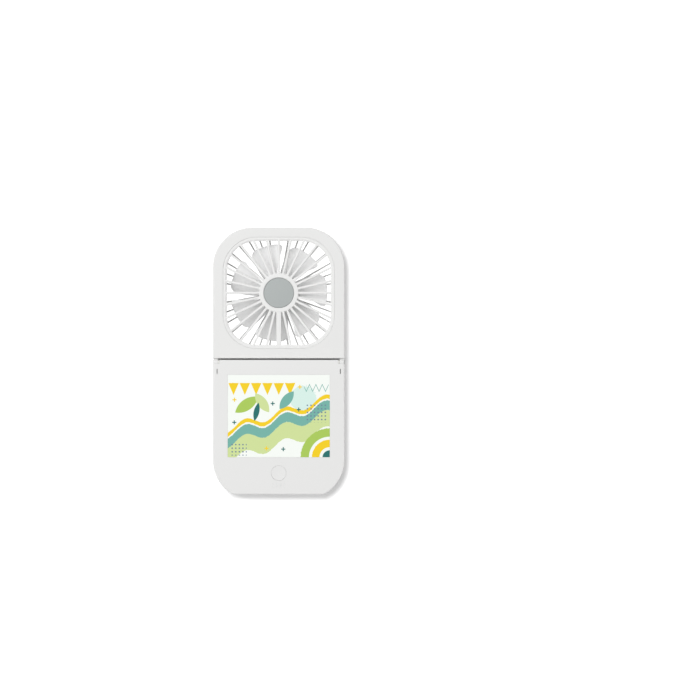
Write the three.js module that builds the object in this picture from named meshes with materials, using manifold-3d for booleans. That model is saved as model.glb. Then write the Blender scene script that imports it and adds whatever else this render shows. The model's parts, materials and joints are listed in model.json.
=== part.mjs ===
// Foldable desk fan, lying open on its back.
// Sizes are in millimetres. +X points to the right of the fan, +Y to the top of its head and +Z out of
// its front. The origin lies under the middle of the open fan, on the surface that carries it.

import * as THREE from 'three';
import { mergeVertices } from 'three/addons/utils/BufferGeometryUtils.js';
import Module from 'manifold-3d';

const wasm = await Module();
wasm.setup();

// Overall sizes
const bodyWidth = 70;
const headLength = 69.5;
const baseLength = 71.4;
const baseThickness = 22;
const headCornerRadius = 21;
const baseCornerRadius = 21;
const baseCornerTurn = 58; // degrees that this arc turns before a tighter one runs into the flat end
const baseCornerEndRadius = 4;

// Casings
const edgeRound = 0.6; // rounding of the front and back edges
const wall = 1.8;
const partingGap = 0.12; // hairline between the two halves of a casing
const headPartingHeight = 9.4;
const basePartingHeight = 11;

// Fold between head and base
const foldGap = 0.9;
const closingGap = 0.4; // between the two front faces when the fan is folded shut
const knuckleRadius = 1.4;
const earLength = 2.3;
const earInset = 0.4; // from the side of the casing
const earEndWall = 0.55;
const earLegBack = 0.7; // how far the leg reaches behind the hinge axis
const earFootDrop = 1.2; // from the head's front face down to the ear's foot
const earFootHeight = 2.6;
const swingGap = 0.3; // room for a part that turns
const sideGap = 0.1; // between the ear, the washer and the cheek of the notch
const notchWall = 1.2;
const hingePinRadius = 0.75;
const hingePinBore = 0.42;
const hingePinDepth = 6; // length of the pin that the base holds
const hingeWasherThickness = 0.6;

// Window and grilles of the head
const windowSideMargin = 7.4; // from the side of the head to the clear window
const windowEndMargin = 7.15; // from the ends of the head to the clear window
const windowCornerRadius = 16;
const grilleRimWidth = 2;
const grilleSeatDepth = 2.4;
const grilleRecess = 0.2; // of the grille's outer face under the casing's face
const grilleRibDrop = 0.12; // of the ribs under the rim
const ductInset = 0.3; // how far the duct wall stands back behind the rim
const ductWall = 1.4;
const seatFloor = 1.6; // thickness of the ledge that carries a grille
const frontRibCount = 28;
const rearRibCount = 36;
const frontRibWidth = 1.25;
const wideRibWidth = 2.6; // the rib at six o'clock, which hides the motor's lead
const rearRibWidth = 0.85;
const rearDiscRadius = 10.5;
const hubRadius = 10.5;
const hubCapRadius = 8;
const hubCapThickness = 1.1;
const hubCapDome = 0.3;
const hubFloor = 0.9;

// Motor and impeller
const motorRadius = 7.4;
const motorHeight = 7;
const motorWall = 0.6;
const motorCapThickness = 1.4;
const motorSocketWall = 0.8;
const motorSocketDepth = 3;
const rotorRadius = 5.2;
const rotorGap = 1.2; // between the rotor and the ends of the can
const shaftRadius = 1;
const bladeCount = 7;
const bladeTipGap = 1.8; // from the blade tips to the window's edge
const bladeAngle = 42.5; // degrees of the circle that one blade covers, seen from the front
const bladeSweep = 12; // degrees by which the tips stand clockwise of the roots, seen from the front
const bladeTaper = 2.8; // how much lower a blade is at its tip than at its root
const bladeThickness = 1.3;
const bladeStart = 5; // degrees by which the first gap leads twelve o'clock, clockwise
const cupRadius = 10.4;
const cupWall = 1.2;
const cupFloor = 1.5;
const cupBossRadius = 2.6;
const cupTopGap = 1.7; // from the cup to the grille's hub
const impellerRearGap = 1.6;

// Print, button and lights on the base
const filmSideMargin = 7.95;
const filmTopMargin = 7.85;
const filmBottomMargin = 19.85;
const filmThickness = 0.12;
const filmCornerRadius = 0.4;
const buttonRadius = 3.95;
const buttonEdgeDistance = 11.4; // from the bottom end of the base
const buttonGap = 0.2;
const buttonFlange = 0.9;
const buttonFlangeThickness = 1;
const buttonStemRadius = 1.3;
const buttonTravel = 0.6;
const lightCount = 4;
const lightPitch = 1.96;
const slitWidth = 0.5;
const slitLength = 2;
const slitEdgeDistance = 4.8; // from the bottom end of the base

// Eyelets for a lanyard at the sides of the base
const eyeletInset = 1.9; // from the side of the base to the slot
const eyeletWidth = 0.8;
const eyeletLength = 2.7;
const eyeletTopDistance = 6.1; // from the top end of the base to the middle of the slot
const eyeletDepth = 4.5;
const eyeletMouth = 2;
const eyeletWall = 1.2;

// Electronics and cell in the base
const boardTop = 9;
const boardThickness = 1;
const boardLength = 16;
const boardGap = 0.5;
const boardPostRadius = 1.5;
const boardPostSpacing = 23.4;
const switchWidth = 6;
const switchHeight = 3;
const plungerRadius = 0.9;
const plungerHeight = 0.7;
const plungerDepth = 1.2;
const usbWidth = 8.94;
const usbHeight = 3.16;
const usbLength = 7.3;
const usbShell = 0.3;
const usbTongueWidth = 6.7;
const usbTongueThickness = 0.7;
const usbTongueSetback = 1; // of the tongue behind the socket's mouth
const usbBackWall = 1.5;
const usbEndFlat = 0.02; // straight stretch that is left in the socket's round ends
const usbGap = 0.2;
const usbSetback = 0.4; // of the socket's mouth inside the casing's face
const chipSize = 5;
const chipHeight = 1;
const inductorRadius = 2.6;
const inductorHeight = 2.8;
const ledLength = 1.6;
const ledWidth = 0.8;
const ledHeight = 0.7;
const guideGap = 0.4;
const guideWidth = 2.4;
const foamThickness = 1;
const foamInset = 2; // from the outline of the cell
const cellThickness = 8.5;
const cellGap = 1;
const cellSideRoom = 9.2; // on each side of the cell, for bosses and the motor's lead
const cellCornerRadius = 1.5;
const cellEdgeRound = 0.75;
const fenceThickness = 1; // of the low walls on both sides of the cell
const guardThickness = 1.4;
const guardLength = 22;
const guardHeight = 5;
const guardRise = 1; // above the lower face of the cell
const leadRadius = 0.5;
const leadPocketLength = 5;
const batteryLeadX = 4; // from the middle of the base to each lead of the cell

// Fasteners
const headScrew = {
  headRadius: 1.25,
  headHeight: 0.9,
  shankRadius: 0.6,
  bossRadius: 1.9,
  reach: 3.4,
  driveWidth: 0.44,
  driveLength: 1.5,
};
const baseScrew = {
  headRadius: 1.9,
  headHeight: 0.9,
  shankRadius: 0.95,
  bossRadius: 2.4,
  reach: 5,
  driveWidth: 0.66,
  driveLength: 2.3,
};
const screwSunk = 0.3; // of a screw's head under the back face
const screwGap = 0.1;
const screwDriveDepth = 0.54; // of the cross recess
const headScrewInset = 5.2; // of the two screws near the fold
const baseScrewTopDistance = 14;

// Fits
const fitGap = 0.1; // between parts that sit in each other
const seatGap = 0.05; // between parts that rest on each other
const runGap = 0.06; // between a shaft and its hole

// Fineness of the round shapes
const cornerSteps = 6; // in a quarter turn
const bevelSteps = 2;
const roundSides = 28;
const smallSides = 12;
const wireSides = 8;
const wireStep = 2; // along a wire
const domeSteps = 3;
const bladeSteps = 4;
const beyond = 5; // how far a cutting shape reaches past what it cuts
const weldDistance = 1e-4; // within which two points count as one

// Places that follow from the sizes
const halfWidth = bodyWidth / 2;
const totalLength = headLength + foldGap + baseLength;
const headTop = totalLength / 2;
const headBottom = headTop - headLength;
const baseTop = headBottom - foldGap;
const baseBottom = baseTop - baseLength;
const hingeY = baseTop - knuckleRadius;
const hingeZ = baseThickness - knuckleRadius;
const headThickness = 2 * hingeZ - baseThickness - closingGap;
const fanY = (headTop + headBottom) / 2;
const windowHalfX = halfWidth - windowSideMargin;
const windowHalfY = headLength / 2 - windowEndMargin;
const buttonY = baseBottom + buttonEdgeDistance;
const slitY = baseBottom + slitEdgeDistance;

// Solids from three.js geometry, joined and cut by the solid library

function solidOf(geometry) {
  const bare = geometry.clone();
  bare.deleteAttribute('normal');
  bare.deleteAttribute('uv');
  const merged = mergeVertices(bare, weldDistance);
  const vertProperties = new Float32Array(merged.attributes.position.array);
  const triVerts = new Uint32Array(merged.index.array);
  return new wasm.Manifold(new wasm.Mesh({ numProp: 3, vertProperties, triVerts }));
}

function geometryOf(solid) {
  const mesh = solid.getMesh();
  const geometry = new THREE.BufferGeometry();
  geometry.setAttribute('position', new THREE.BufferAttribute(new Float32Array(mesh.vertProperties), 3));
  geometry.setIndex(new THREE.BufferAttribute(new Uint32Array(mesh.triVerts), 1));
  geometry.computeVertexNormals();
  return geometry;
}

function join(solids) {
  return solids.reduce((whole, next) => whole.add(next));
}

function cut(solid, tools) {
  return tools.reduce((rest, tool) => rest.subtract(tool), solid);
}

// A flat outline raised from one height to another, with rounded edges where bevel is more than 0.
function slab(shape, low, high, bevel = 0) {
  const geometry = new THREE.ExtrudeGeometry(shape, {
    depth: high - low - 2 * bevel,
    curveSegments: cornerSteps / 2, // an arc gets twice as many steps
    bevelEnabled: bevel > 0,
    bevelThickness: bevel,
    bevelSize: bevel,
    bevelOffset: -bevel,
    bevelSegments: bevelSteps,
  });
  geometry.translate(0, 0, low + bevel);
  return solidOf(geometry);
}

function block(x, y, z) {
  const geometry = new THREE.BoxGeometry(x[1] - x[0], y[1] - y[0], z[1] - z[0]);
  geometry.translate((x[0] + x[1]) / 2, (y[0] + y[1]) / 2, (z[0] + z[1]) / 2);
  return solidOf(geometry);
}

// A round post along Z.
function post(radius, z, x = 0, y = 0, sides = roundSides) {
  const geometry = new THREE.CylinderGeometry(radius, radius, z[1] - z[0], sides);
  geometry.rotateX(Math.PI / 2);
  geometry.translate(x, y, (z[0] + z[1]) / 2);
  return solidOf(geometry);
}

// A round rod along X.
function rod(radius, x, y, z, sides = smallSides) {
  const geometry = new THREE.CylinderGeometry(radius, radius, x[1] - x[0], sides);
  geometry.rotateZ(Math.PI / 2);
  geometry.translate((x[0] + x[1]) / 2, y, z);
  return solidOf(geometry);
}

// A wire along a smooth line through points.
function wire(points, radius = leadRadius) {
  const section = new THREE.Shape();
  section.absarc(0, 0, radius, 0, 2 * Math.PI, false);
  const path = new THREE.CatmullRomCurve3(points.map((p) => new THREE.Vector3(...p)), false, 'centripetal');
  const steps = Math.ceil(path.getLength() / wireStep);
  const options = { steps, curveSegments: wireSides / 2, extrudePath: path, bevelEnabled: false };
  return solidOf(new THREE.ExtrudeGeometry(section, options));
}

function roundedRectangle(halfX, halfY, radius, centreY = 0) {
  const shape = new THREE.Shape();
  const x = halfX - radius;
  const y = halfY - radius;
  shape.absarc(x, centreY + y, radius, 0, Math.PI / 2, false);
  shape.absarc(-x, centreY + y, radius, Math.PI / 2, Math.PI, false);
  shape.absarc(-x, centreY - y, radius, Math.PI, 1.5 * Math.PI, false);
  shape.absarc(x, centreY - y, radius, 1.5 * Math.PI, 2 * Math.PI, false);
  shape.closePath();
  return shape;
}

// The arcs of a casing's corner, from its side to its end: each has a radius, a start and a stop angle,
// and a centre measured from the side and from the end.
const headCorner = [
  { radius: headCornerRadius, start: 0, stop: Math.PI / 2, x: headCornerRadius, y: headCornerRadius },
];
const baseTurn = THREE.MathUtils.degToRad(baseCornerTurn);
const baseArcStep = baseCornerRadius - baseCornerEndRadius; // from one arc's centre to the other's
const baseCornerLength = baseCornerEndRadius + baseArcStep * Math.sin(baseTurn);
const baseCorner = [
  { radius: baseCornerRadius, start: 0, stop: baseTurn, x: baseCornerRadius, y: baseCornerLength },
  {
    radius: baseCornerEndRadius,
    start: baseTurn,
    stop: Math.PI / 2,
    x: baseCornerRadius - baseArcStep * Math.cos(baseTurn),
    y: baseCornerEndRadius,
  },
];

// The outline of a casing: flat at one end, with round corners at the other.
function casingOutline(inset, flatY, endY, corner) {
  const half = halfWidth - inset;
  const way = Math.sign(endY - flatY);
  const shape = new THREE.Shape();
  shape.moveTo(-half, flatY);
  shape.lineTo(half, flatY);
  for (const { radius, start, stop, x, y } of corner) {
    shape.absarc(halfWidth - x, endY - way * y, radius - inset, way * start, way * stop, way < 0);
  }
  for (const { radius, start, stop, x, y } of corner.toReversed()) {
    const from = way * (Math.PI - stop);
    const to = way * (Math.PI - start);
    shape.absarc(x - halfWidth, endY - way * y, radius - inset, from, to, way < 0);
  }
  shape.closePath();
  return shape;
}

function headOutline(inset, flatY) {
  return casingOutline(inset, flatY, headTop, headCorner);
}

function baseOutline(inset, flatY) {
  return casingOutline(inset, flatY, baseBottom, baseCorner);
}

// The whole outer body of the head or the base, running past the fold so that its end can be cut flat.
const headBlank = slab(headOutline(0, headBottom - beyond), 0, headThickness, edgeRound);
const baseBlank = slab(baseOutline(0, baseTop + beyond), 0, baseThickness, edgeRound);

const everywhereX = [-bodyWidth, bodyWidth];

function headHalf(z) {
  return headBlank.intersect(block(everywhereX, [headBottom, headTop + beyond], z));
}

function baseHalf(z) {
  return baseBlank.intersect(block(everywhereX, [baseBottom - beyond, baseTop], z));
}

// The window's outline, grown outwards.
function windowOutline(growth) {
  const radius = windowCornerRadius + growth;
  return roundedRectangle(windowHalfX + growth, windowHalfY + growth, radius, fanY);
}

// Hinge ears of the head and the notches that they turn in

const earOuter = halfWidth - earInset;
const earInner = earOuter - earLength;
const cheekX = earInner - hingeWasherThickness - 2 * sideGap;
const pinOuter = earOuter - earEndWall;
const pinInner = cheekX - hingePinDepth;
const footTop = headThickness - earFootDrop;
const footLow = footTop - earFootHeight;
const notchBack = hingeY - knuckleRadius - swingGap;
const notchFloor = footLow - swingGap;

function sideSpan(side, inner, outer) {
  return side > 0 ? [inner, outer] : [-outer, -inner];
}

// A knuckle round the hinge axis, a leg down from it and a foot into the head's end wall.
function ear(side) {
  const x = sideSpan(side, earInner, earOuter);
  const legY = [hingeY - earLegBack, hingeY + knuckleRadius];
  const knuckle = rod(knuckleRadius, x, hingeY, hingeZ, roundSides);
  const leg = block(x, legY, [footLow, hingeZ]);
  const foot = block(x, [legY[0], headBottom + wall / 2], [footLow, footTop]);
  return join([knuckle, leg, foot]).intersect(baseBlank);
}

function earBore(side) {
  return rod(hingePinRadius + runGap, sideSpan(side, cheekX, pinOuter), hingeY, hingeZ);
}

function notch(side) {
  const x = sideSpan(side, cheekX, halfWidth + beyond);
  return block(x, [notchBack, baseTop + beyond], [notchFloor, baseThickness + beyond]);
}

// Screw places

// Half way between the grille's seat and the rounding of the back edge, on the diagonal of a top corner.
function headCornerScrew() {
  const seatX = windowHalfX - windowCornerRadius;
  const seatY = fanY + windowHalfY - windowCornerRadius;
  const outerX = halfWidth - headCornerRadius;
  const outerY = headTop - headCornerRadius;
  const reach = (windowCornerRadius + grilleRimWidth + headCornerRadius - edgeRound) / 2;
  const diagonal = reach * Math.SQRT1_2;
  return [(seatX + outerX) / 2 + diagonal, (seatY + outerY) / 2 + diagonal];
}

// In the round bottom corner of the base, against the wall.
function baseCornerScrew() {
  const reach = (baseCornerRadius - wall - baseScrew.bossRadius + fitGap) * Math.SQRT1_2;
  return [halfWidth - baseCornerRadius + reach, baseBottom + baseCornerLength - reach];
}

const [cornerScrewX, cornerScrewY] = headCornerScrew();
const [baseScrewX, baseScrewY] = baseCornerScrew();
const sideScrewX = halfWidth - wall - baseScrew.bossRadius + fitGap;
const headScrewPlaces = [
  [-cornerScrewX, cornerScrewY],
  [cornerScrewX, cornerScrewY],
  [-(halfWidth - headScrewInset), headBottom + headScrewInset],
  [halfWidth - headScrewInset, headBottom + headScrewInset],
];
const baseScrewPlaces = [
  [-sideScrewX, baseTop - baseScrewTopDistance],
  [sideScrewX, baseTop - baseScrewTopDistance],
  [-baseScrewX, baseScrewY],
  [baseScrewX, baseScrewY],
];

function bosses(places, screw, z, growth = 0) {
  return places.map(([x, y]) => post(screw.bossRadius + growth, z, x, y, smallSides));
}

function screwHoles(places, screw, z, gap = screwGap) {
  return places.map(([x, y]) => post(screw.shankRadius + gap, z, x, y, smallSides));
}

function screwSinks(places, screw) {
  const depth = screwSunk + screw.headHeight + seatGap;
  return places.map(([x, y]) => post(screw.headRadius + screwGap, [-beyond, depth], x, y, smallSides));
}

// A round-headed screw with a cross recess, standing on its head at the local origin.
function screwSolid(screw, partingHeight) {
  const top = partingHeight + screw.reach - screwSunk;
  const profile = [
    [0, 0],
    [screw.headRadius, 0],
    [screw.headRadius, screw.headHeight],
    [screw.shankRadius, screw.headHeight],
    [screw.shankRadius, top - screw.shankRadius],
    [0, top],
  ];
  const points = profile.map(([radius, height]) => new THREE.Vector2(radius, height));
  const geometry = new THREE.LatheGeometry(points, smallSides);
  geometry.rotateX(Math.PI / 2);
  const half = screw.driveWidth / 2;
  const arm = screw.driveLength / 2;
  const depth = [-beyond, screwDriveDepth];
  const cross = [block([-half, half], [-arm, arm], depth), block([-arm, arm], [-half, half], depth)];
  return cut(solidOf(geometry), cross);
}

// Casing of the head

const frontSeat = headThickness - grilleSeatDepth;
const rearSeat = grilleSeatDepth;
const leadNotchHalf = leadRadius + swingGap;
const leadZ = frontSeat - leadRadius - fitGap;

// The hollow between the outer wall and the duct wall, without the screw bosses.
function headChannel(z) {
  const outer = slab(headOutline(wall, headBottom + wall), z[0], z[1]);
  const through = [z[0] - beyond, z[1] + beyond];
  const duct = slab(windowOutline(ductInset + ductWall), ...through);
  return cut(outer, [duct, ...bosses(headScrewPlaces, headScrew, through)]);
}

function headFrontShell() {
  const low = headPartingHeight + partingGap / 2;
  const shell = headHalf([low, headThickness + beyond]);
  const coreTop = headPartingHeight + headScrew.reach + fitGap;
  const ductY = fanY - windowHalfY - ductInset;
  const leadSlot = block(
    [-leadNotchHalf, leadNotchHalf],
    [ductY - ductWall - 2 * leadRadius - swingGap, ductY + beyond],
    [frontSeat - seatFloor - swingGap, frontSeat + fitGap],
  );
  const tools = [
    slab(windowOutline(grilleRimWidth), frontSeat, headThickness + beyond),
    slab(windowOutline(ductInset), 0, headThickness + beyond),
    headChannel([low - beyond, frontSeat - seatFloor]),
    ...screwHoles(headScrewPlaces, headScrew, [low - beyond, coreTop], screwGap / 2),
    leadSlot,
  ];
  const withEars = join([cut(shell, tools), ear(-1), ear(1)]);
  return cut(withEars, [earBore(-1), earBore(1)]);
}

function headRearShell() {
  const high = headPartingHeight - partingGap / 2;
  const tools = [
    slab(windowOutline(grilleRimWidth), -beyond, rearSeat),
    slab(windowOutline(ductInset), -beyond, headThickness),
    headChannel([rearSeat + seatFloor, high + beyond]),
    ...screwHoles(headScrewPlaces, headScrew, [-beyond, high + beyond]),
    ...screwSinks(headScrewPlaces, headScrew),
  ];
  return cut(headHalf([-beyond, high]), tools);
}

// Grilles

function grilleRim(z) {
  const outer = slab(windowOutline(grilleRimWidth - fitGap), z[0], z[1]);
  return outer.subtract(slab(windowOutline(0), z[0] - beyond, z[1] + beyond));
}

// Straight ribs from the middle out into the rim, the first one at six o'clock.
function grilleRibs(count, widthOf, z) {
  const reach = Math.hypot(windowHalfX, windowHalfY);
  const ribs = [];
  for (let i = 0; i < count; i += 1) {
    const half = widthOf(i) / 2;
    const geometry = new THREE.BoxGeometry(2 * half, reach, z[1] - z[0]);
    geometry.translate(0, -reach / 2, (z[0] + z[1]) / 2);
    geometry.rotateZ((2 * Math.PI * i) / count);
    geometry.translate(0, fanY, 0);
    ribs.push(solidOf(geometry));
  }
  return join(ribs).intersect(slab(windowOutline(grilleRimWidth / 2), z[0] - beyond, z[1] + beyond));
}

const grilleLow = frontSeat + seatGap;
const grilleTop = headThickness - grilleRecess;
const hubSocketRadius = motorRadius + fitGap + motorSocketWall;

function frontGrille() {
  const z = [grilleLow, grilleTop];
  const ribWidth = (i) => (i === 0 ? wideRibWidth : frontRibWidth);
  const ribs = grilleRibs(frontRibCount, ribWidth, [grilleLow, grilleTop - grilleRibDrop]);
  const hub = post(hubRadius, z, 0, fanY);
  const socket = post(hubSocketRadius, [grilleLow - motorSocketDepth, grilleLow + seatGap], 0, fanY);
  const tools = [
    post(hubCapRadius + fitGap, [grilleLow + hubFloor, grilleTop + beyond], 0, fanY),
    post(motorRadius + fitGap, [0, grilleLow], 0, fanY),
    block(
      [-leadNotchHalf, leadNotchHalf],
      [fanY - hubSocketRadius - fitGap, fanY - motorRadius],
      [0, grilleLow],
    ),
  ];
  return cut(join([grilleRim(z), ribs, hub, socket]), tools);
}

function rearGrille() {
  const z = [grilleRecess, rearSeat - seatGap];
  const ribs = grilleRibs(rearRibCount, () => rearRibWidth, [z[0] + grilleRibDrop, z[1]]);
  return join([grilleRim(z), ribs, post(rearDiscRadius, z, 0, fanY)]);
}

// A shallow dome on a short round edge.
function hubCap() {
  const low = grilleLow + hubFloor + seatGap;
  const edge = low + hubCapThickness - hubCapDome;
  const points = [new THREE.Vector2(0, low), new THREE.Vector2(hubCapRadius, low)];
  for (let i = 0; i <= domeSteps; i += 1) {
    const angle = (Math.PI / 2) * (i / domeSteps);
    points.push(new THREE.Vector2(hubCapRadius * Math.cos(angle), edge + hubCapDome * Math.sin(angle)));
  }
  points[points.length - 1].x = 0;
  const geometry = new THREE.LatheGeometry(points, roundSides);
  geometry.rotateX(Math.PI / 2);
  geometry.translate(0, fanY, 0);
  return solidOf(geometry);
}

// Motor and impeller

const motorTop = grilleLow - seatGap;
const motorLow = motorTop - motorHeight;
const impellerLow = rearSeat + impellerRearGap;
const cupTop = grilleLow - cupTopGap;
const shaftLow = impellerLow + cupFloor;
const shaftTop = motorTop - motorCapThickness / 2;
const tipRadius = Math.min(windowHalfX, windowHalfY) - bladeTipGap;
const bladeRootHeight = cupTop - impellerLow - bladeThickness;

function motorCan() {
  const inside = post(motorRadius - motorWall, [motorLow + motorWall, motorTop + beyond], 0, fanY);
  const shaftHole = post(shaftRadius + runGap, [0, motorTop], 0, fanY, smallSides);
  return cut(post(motorRadius, [motorLow, motorTop], 0, fanY), [inside, shaftHole]);
}

function motorEndCap() {
  const low = motorTop - motorCapThickness;
  const plug = post(motorRadius - motorWall - fitGap, [low, motorTop], 0, fanY);
  return plug.subtract(post(shaftRadius + runGap, [0, shaftTop + runGap], 0, fanY, smallSides));
}

function motorRotor() {
  const z = [motorLow + motorWall + rotorGap, motorTop - motorCapThickness - rotorGap];
  const shaftHole = post(shaftRadius + runGap, [0, motorTop], 0, fanY, smallSides);
  return post(rotorRadius, z, 0, fanY).subtract(shaftHole);
}

// One blade: a flat box of many cells, bent so that its length runs outwards and its width goes clockwise
// round the axis, rising from the leading edge at the back to the trailing edge at the front.
function blade(index) {
  const root = cupRadius - cupWall / 2;
  const middle = (impellerLow + cupTop) / 2;
  const pitch = 360 / bladeCount;
  const geometry = new THREE.BoxGeometry(1, 1, 1, bladeSteps, bladeSteps, 1);
  const position = geometry.attributes.position;
  for (let i = 0; i < position.count; i += 1) {
    const along = position.getX(i) + 0.5;
    const across = position.getY(i);
    const radius = root + along * (tipRadius - root);
    const turn = 90 - bladeStart - pitch * (index + 0.5) - bladeSweep * (along - 0.5) + bladeAngle * across;
    const angle = THREE.MathUtils.degToRad(turn);
    const height = bladeRootHeight - bladeTaper * along;
    const z = middle - across * height + position.getZ(i) * bladeThickness;
    position.setXYZ(i, radius * Math.cos(angle), fanY + radius * Math.sin(angle), z);
  }
  return solidOf(geometry);
}

function impeller() {
  const boss = post(cupBossRadius, [impellerLow, motorLow - swingGap * 2], 0, fanY, smallSides);
  const inside = post(cupRadius - cupWall, [impellerLow + cupFloor, cupTop + beyond], 0, fanY);
  const blades = [];
  for (let i = 0; i < bladeCount; i += 1) {
    blades.push(blade(i));
  }
  const cup = join([post(cupRadius, [impellerLow, cupTop], 0, fanY), ...blades]).subtract(inside);
  const bore = post(shaftRadius + runGap, [shaftLow - seatGap, motorLow], 0, fanY, smallSides);
  return cup.add(boss).subtract(bore);
}

// From the motor, behind the wide rib, through the duct wall and along the channel towards the right ear.
function motorLeadHead() {
  const ductY = fanY - windowHalfY - ductInset - ductWall;
  const channelY = ductY - leadRadius - swingGap / 2;
  const channelZ = frontSeat - seatFloor - 2 * leadRadius - swingGap;
  const endX = halfWidth - headScrewInset - headScrew.bossRadius - leadRadius;
  return wire([
    [0, fanY - motorRadius - fitGap, leadZ],
    [0, fanY - hubRadius, leadZ],
    [0, (fanY + ductY) / 2, leadZ],
    [0, ductY + ductWall, leadZ],
    [0, channelY, leadZ - leadRadius],
    [leadRadius, channelY, channelZ],
    [4 * leadRadius, channelY, channelZ - 2 * leadRadius],
    [endX / 2, channelY, channelZ - 2 * leadRadius],
    [endX, channelY, channelZ - 2 * leadRadius],
  ]);
}

// Casing of the base

const filmHalfX = halfWidth - filmSideMargin;
const filmTop = baseTop - filmTopMargin;
const filmBottom = baseBottom + filmBottomMargin;
const filmY = (filmTop + filmBottom) / 2;
const filmHalfY = (filmTop - filmBottom) / 2;
const coverUnder = baseThickness - wall;
const eyeletY = baseTop - eyeletTopDistance;
const eyeletOuter = halfWidth - eyeletInset;
const eyeletInner = eyeletOuter - eyeletWidth;
const eyeletFloor = baseThickness - eyeletDepth;
const cavityTop = baseTop - wall;

// A slot down from the front that meets a mouth in the side, so that a loop goes round the corner.
function eyelet(side) {
  const y = [eyeletY - eyeletLength / 2, eyeletY + eyeletLength / 2];
  const slotX = sideSpan(side, eyeletInner, eyeletOuter);
  const mouthX = sideSpan(side, eyeletInner, halfWidth + beyond);
  const slot = block(slotX, y, [eyeletFloor, baseThickness + beyond]);
  return slot.add(block(mouthX, y, [eyeletFloor, eyeletFloor + eyeletMouth]));
}

// Solid material inside the front cover that holds a hinge pin and surrounds a notch and an eyelet.
function hingeBlock(side) {
  const hinge = block(
    sideSpan(side, pinInner, halfWidth),
    [notchBack - notchWall, baseTop],
    [notchFloor - notchWall, baseThickness],
  );
  const loop = block(
    sideSpan(side, eyeletInner - eyeletWall, halfWidth),
    [eyeletY - eyeletLength / 2 - eyeletWall, notchBack],
    [eyeletFloor - eyeletWall, baseThickness],
  );
  return [hinge, loop];
}

function pinBore(side) {
  return rod(hingePinRadius + seatGap / 2, sideSpan(side, pinInner, cheekX + beyond), hingeY, hingeZ);
}

// A pocket beside the right pin's inner end, through which the motor's lead turns into the hollow base.
function leadPocket() {
  return block(
    [pinInner - leadPocketLength, pinInner],
    [notchBack - notchWall, hingeY + hingePinRadius],
    [notchFloor, hingeZ + hingePinRadius],
  );
}

function lightX(index) {
  return (index - (lightCount - 1) / 2) * lightPitch;
}

// Upright bars for the light slits, grown or shrunk all round.
function lightBars(growth, z) {
  const bars = [];
  for (let i = 0; i < lightCount; i += 1) {
    const half = slitWidth / 2 + growth;
    const y = [slitY - slitLength / 2 - growth, slitY + slitLength / 2 + growth];
    bars.push(block([lightX(i) - half, lightX(i) + half], y, z));
  }
  return bars;
}

function baseFrontCover() {
  const low = basePartingHeight + partingGap / 2;
  const cavity = cut(slab(baseOutline(wall, cavityTop), low - beyond, coverUnder), [
    ...bosses(baseScrewPlaces, baseScrew, [0, baseThickness]),
    ...hingeBlock(-1),
    ...hingeBlock(1),
  ]);
  const film = roundedRectangle(filmHalfX + fitGap, filmHalfY + fitGap, filmCornerRadius, filmY);
  const coreTop = basePartingHeight + baseScrew.reach + fitGap;
  const tools = [
    cavity,
    notch(-1),
    notch(1),
    eyelet(-1),
    eyelet(1),
    pinBore(-1),
    pinBore(1),
    leadPocket(),
    slab(film, baseThickness - filmThickness - seatGap, baseThickness + beyond),
    post(buttonRadius + buttonGap, [low, baseThickness + beyond], 0, buttonY),
    ...lightBars(0, [low, baseThickness + beyond]),
    ...screwHoles(baseScrewPlaces, baseScrew, [low - beyond, coreTop], screwGap / 2),
  ];
  return cut(baseHalf([low, baseThickness + beyond]), tools);
}

const boardLow = boardTop - boardThickness;
const boardEnd = baseBottom + wall + boardGap + boardLength;
const usbTop = boardLow - seatGap;
const usbLow = usbTop - usbHeight;
const usbFront = baseBottom + usbSetback;
const cellHalfX = halfWidth - wall - cellSideRoom;
const cellBottom = boardEnd + cellGap + guardThickness + cellGap;
const cellTop = notchBack - notchWall - cellGap;
const cellLow = wall + foamThickness + 2 * seatGap;
const fenceX = cellHalfX + fitGap;

function usbOutline(growth) {
  const half = usbHeight / 2 + growth;
  return roundedRectangle(usbWidth / 2 + growth, half, half - usbEndFlat / 2);
}

// A slab whose outline stands upright and whose depth runs along +Y.
function uprightSlab(shape, y, centreZ) {
  const geometry = new THREE.ExtrudeGeometry(shape, {
    depth: y[1] - y[0],
    curveSegments: cornerSteps / 2,
    bevelEnabled: false,
  });
  geometry.rotateX(Math.PI / 2);
  geometry.translate(0, y[1], centreZ);
  return solidOf(geometry);
}

function baseRearCover() {
  const high = basePartingHeight - partingGap / 2;
  const postZ = [0, boardLow - seatGap];
  const postX = boardPostSpacing / 2;
  const postY = (boardEnd + baseBottom) / 2 + wall;
  const supports = [-postX, postX].map((x) => post(boardPostRadius, postZ, x, postY, smallSides));
  const fences = [-1, 1].map((side) => block(
    sideSpan(side, fenceX, fenceX + fenceThickness),
    [cellBottom + beyond, cellTop - beyond],
    [0, cellLow + cellThickness / 2],
  ));
  const cavity = cut(slab(baseOutline(wall, cavityTop), wall, high + beyond), [
    ...bosses(baseScrewPlaces, baseScrew, [0, baseThickness]),
    ...supports,
    ...fences,
  ]);
  const tools = [
    cavity,
    uprightSlab(usbOutline(usbGap), [baseBottom - beyond, baseBottom + beyond], (usbLow + usbTop) / 2),
    ...screwHoles(baseScrewPlaces, baseScrew, [-beyond, high + beyond]),
    ...screwSinks(baseScrewPlaces, baseScrew),
  ];
  return cut(baseHalf([-beyond, high]), tools);
}

function printFilm() {
  const low = baseThickness - filmThickness - seatGap / 2;
  return slab(roundedRectangle(filmHalfX, filmHalfY, filmCornerRadius, filmY), low, low + filmThickness);
}

// Button, switch and lights

const flangeTop = coverUnder - seatGap;
const flangeLow = flangeTop - buttonFlangeThickness;
const switchTop = boardTop + seatGap + switchHeight;
const plungerTop = switchTop + plungerHeight;

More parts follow.
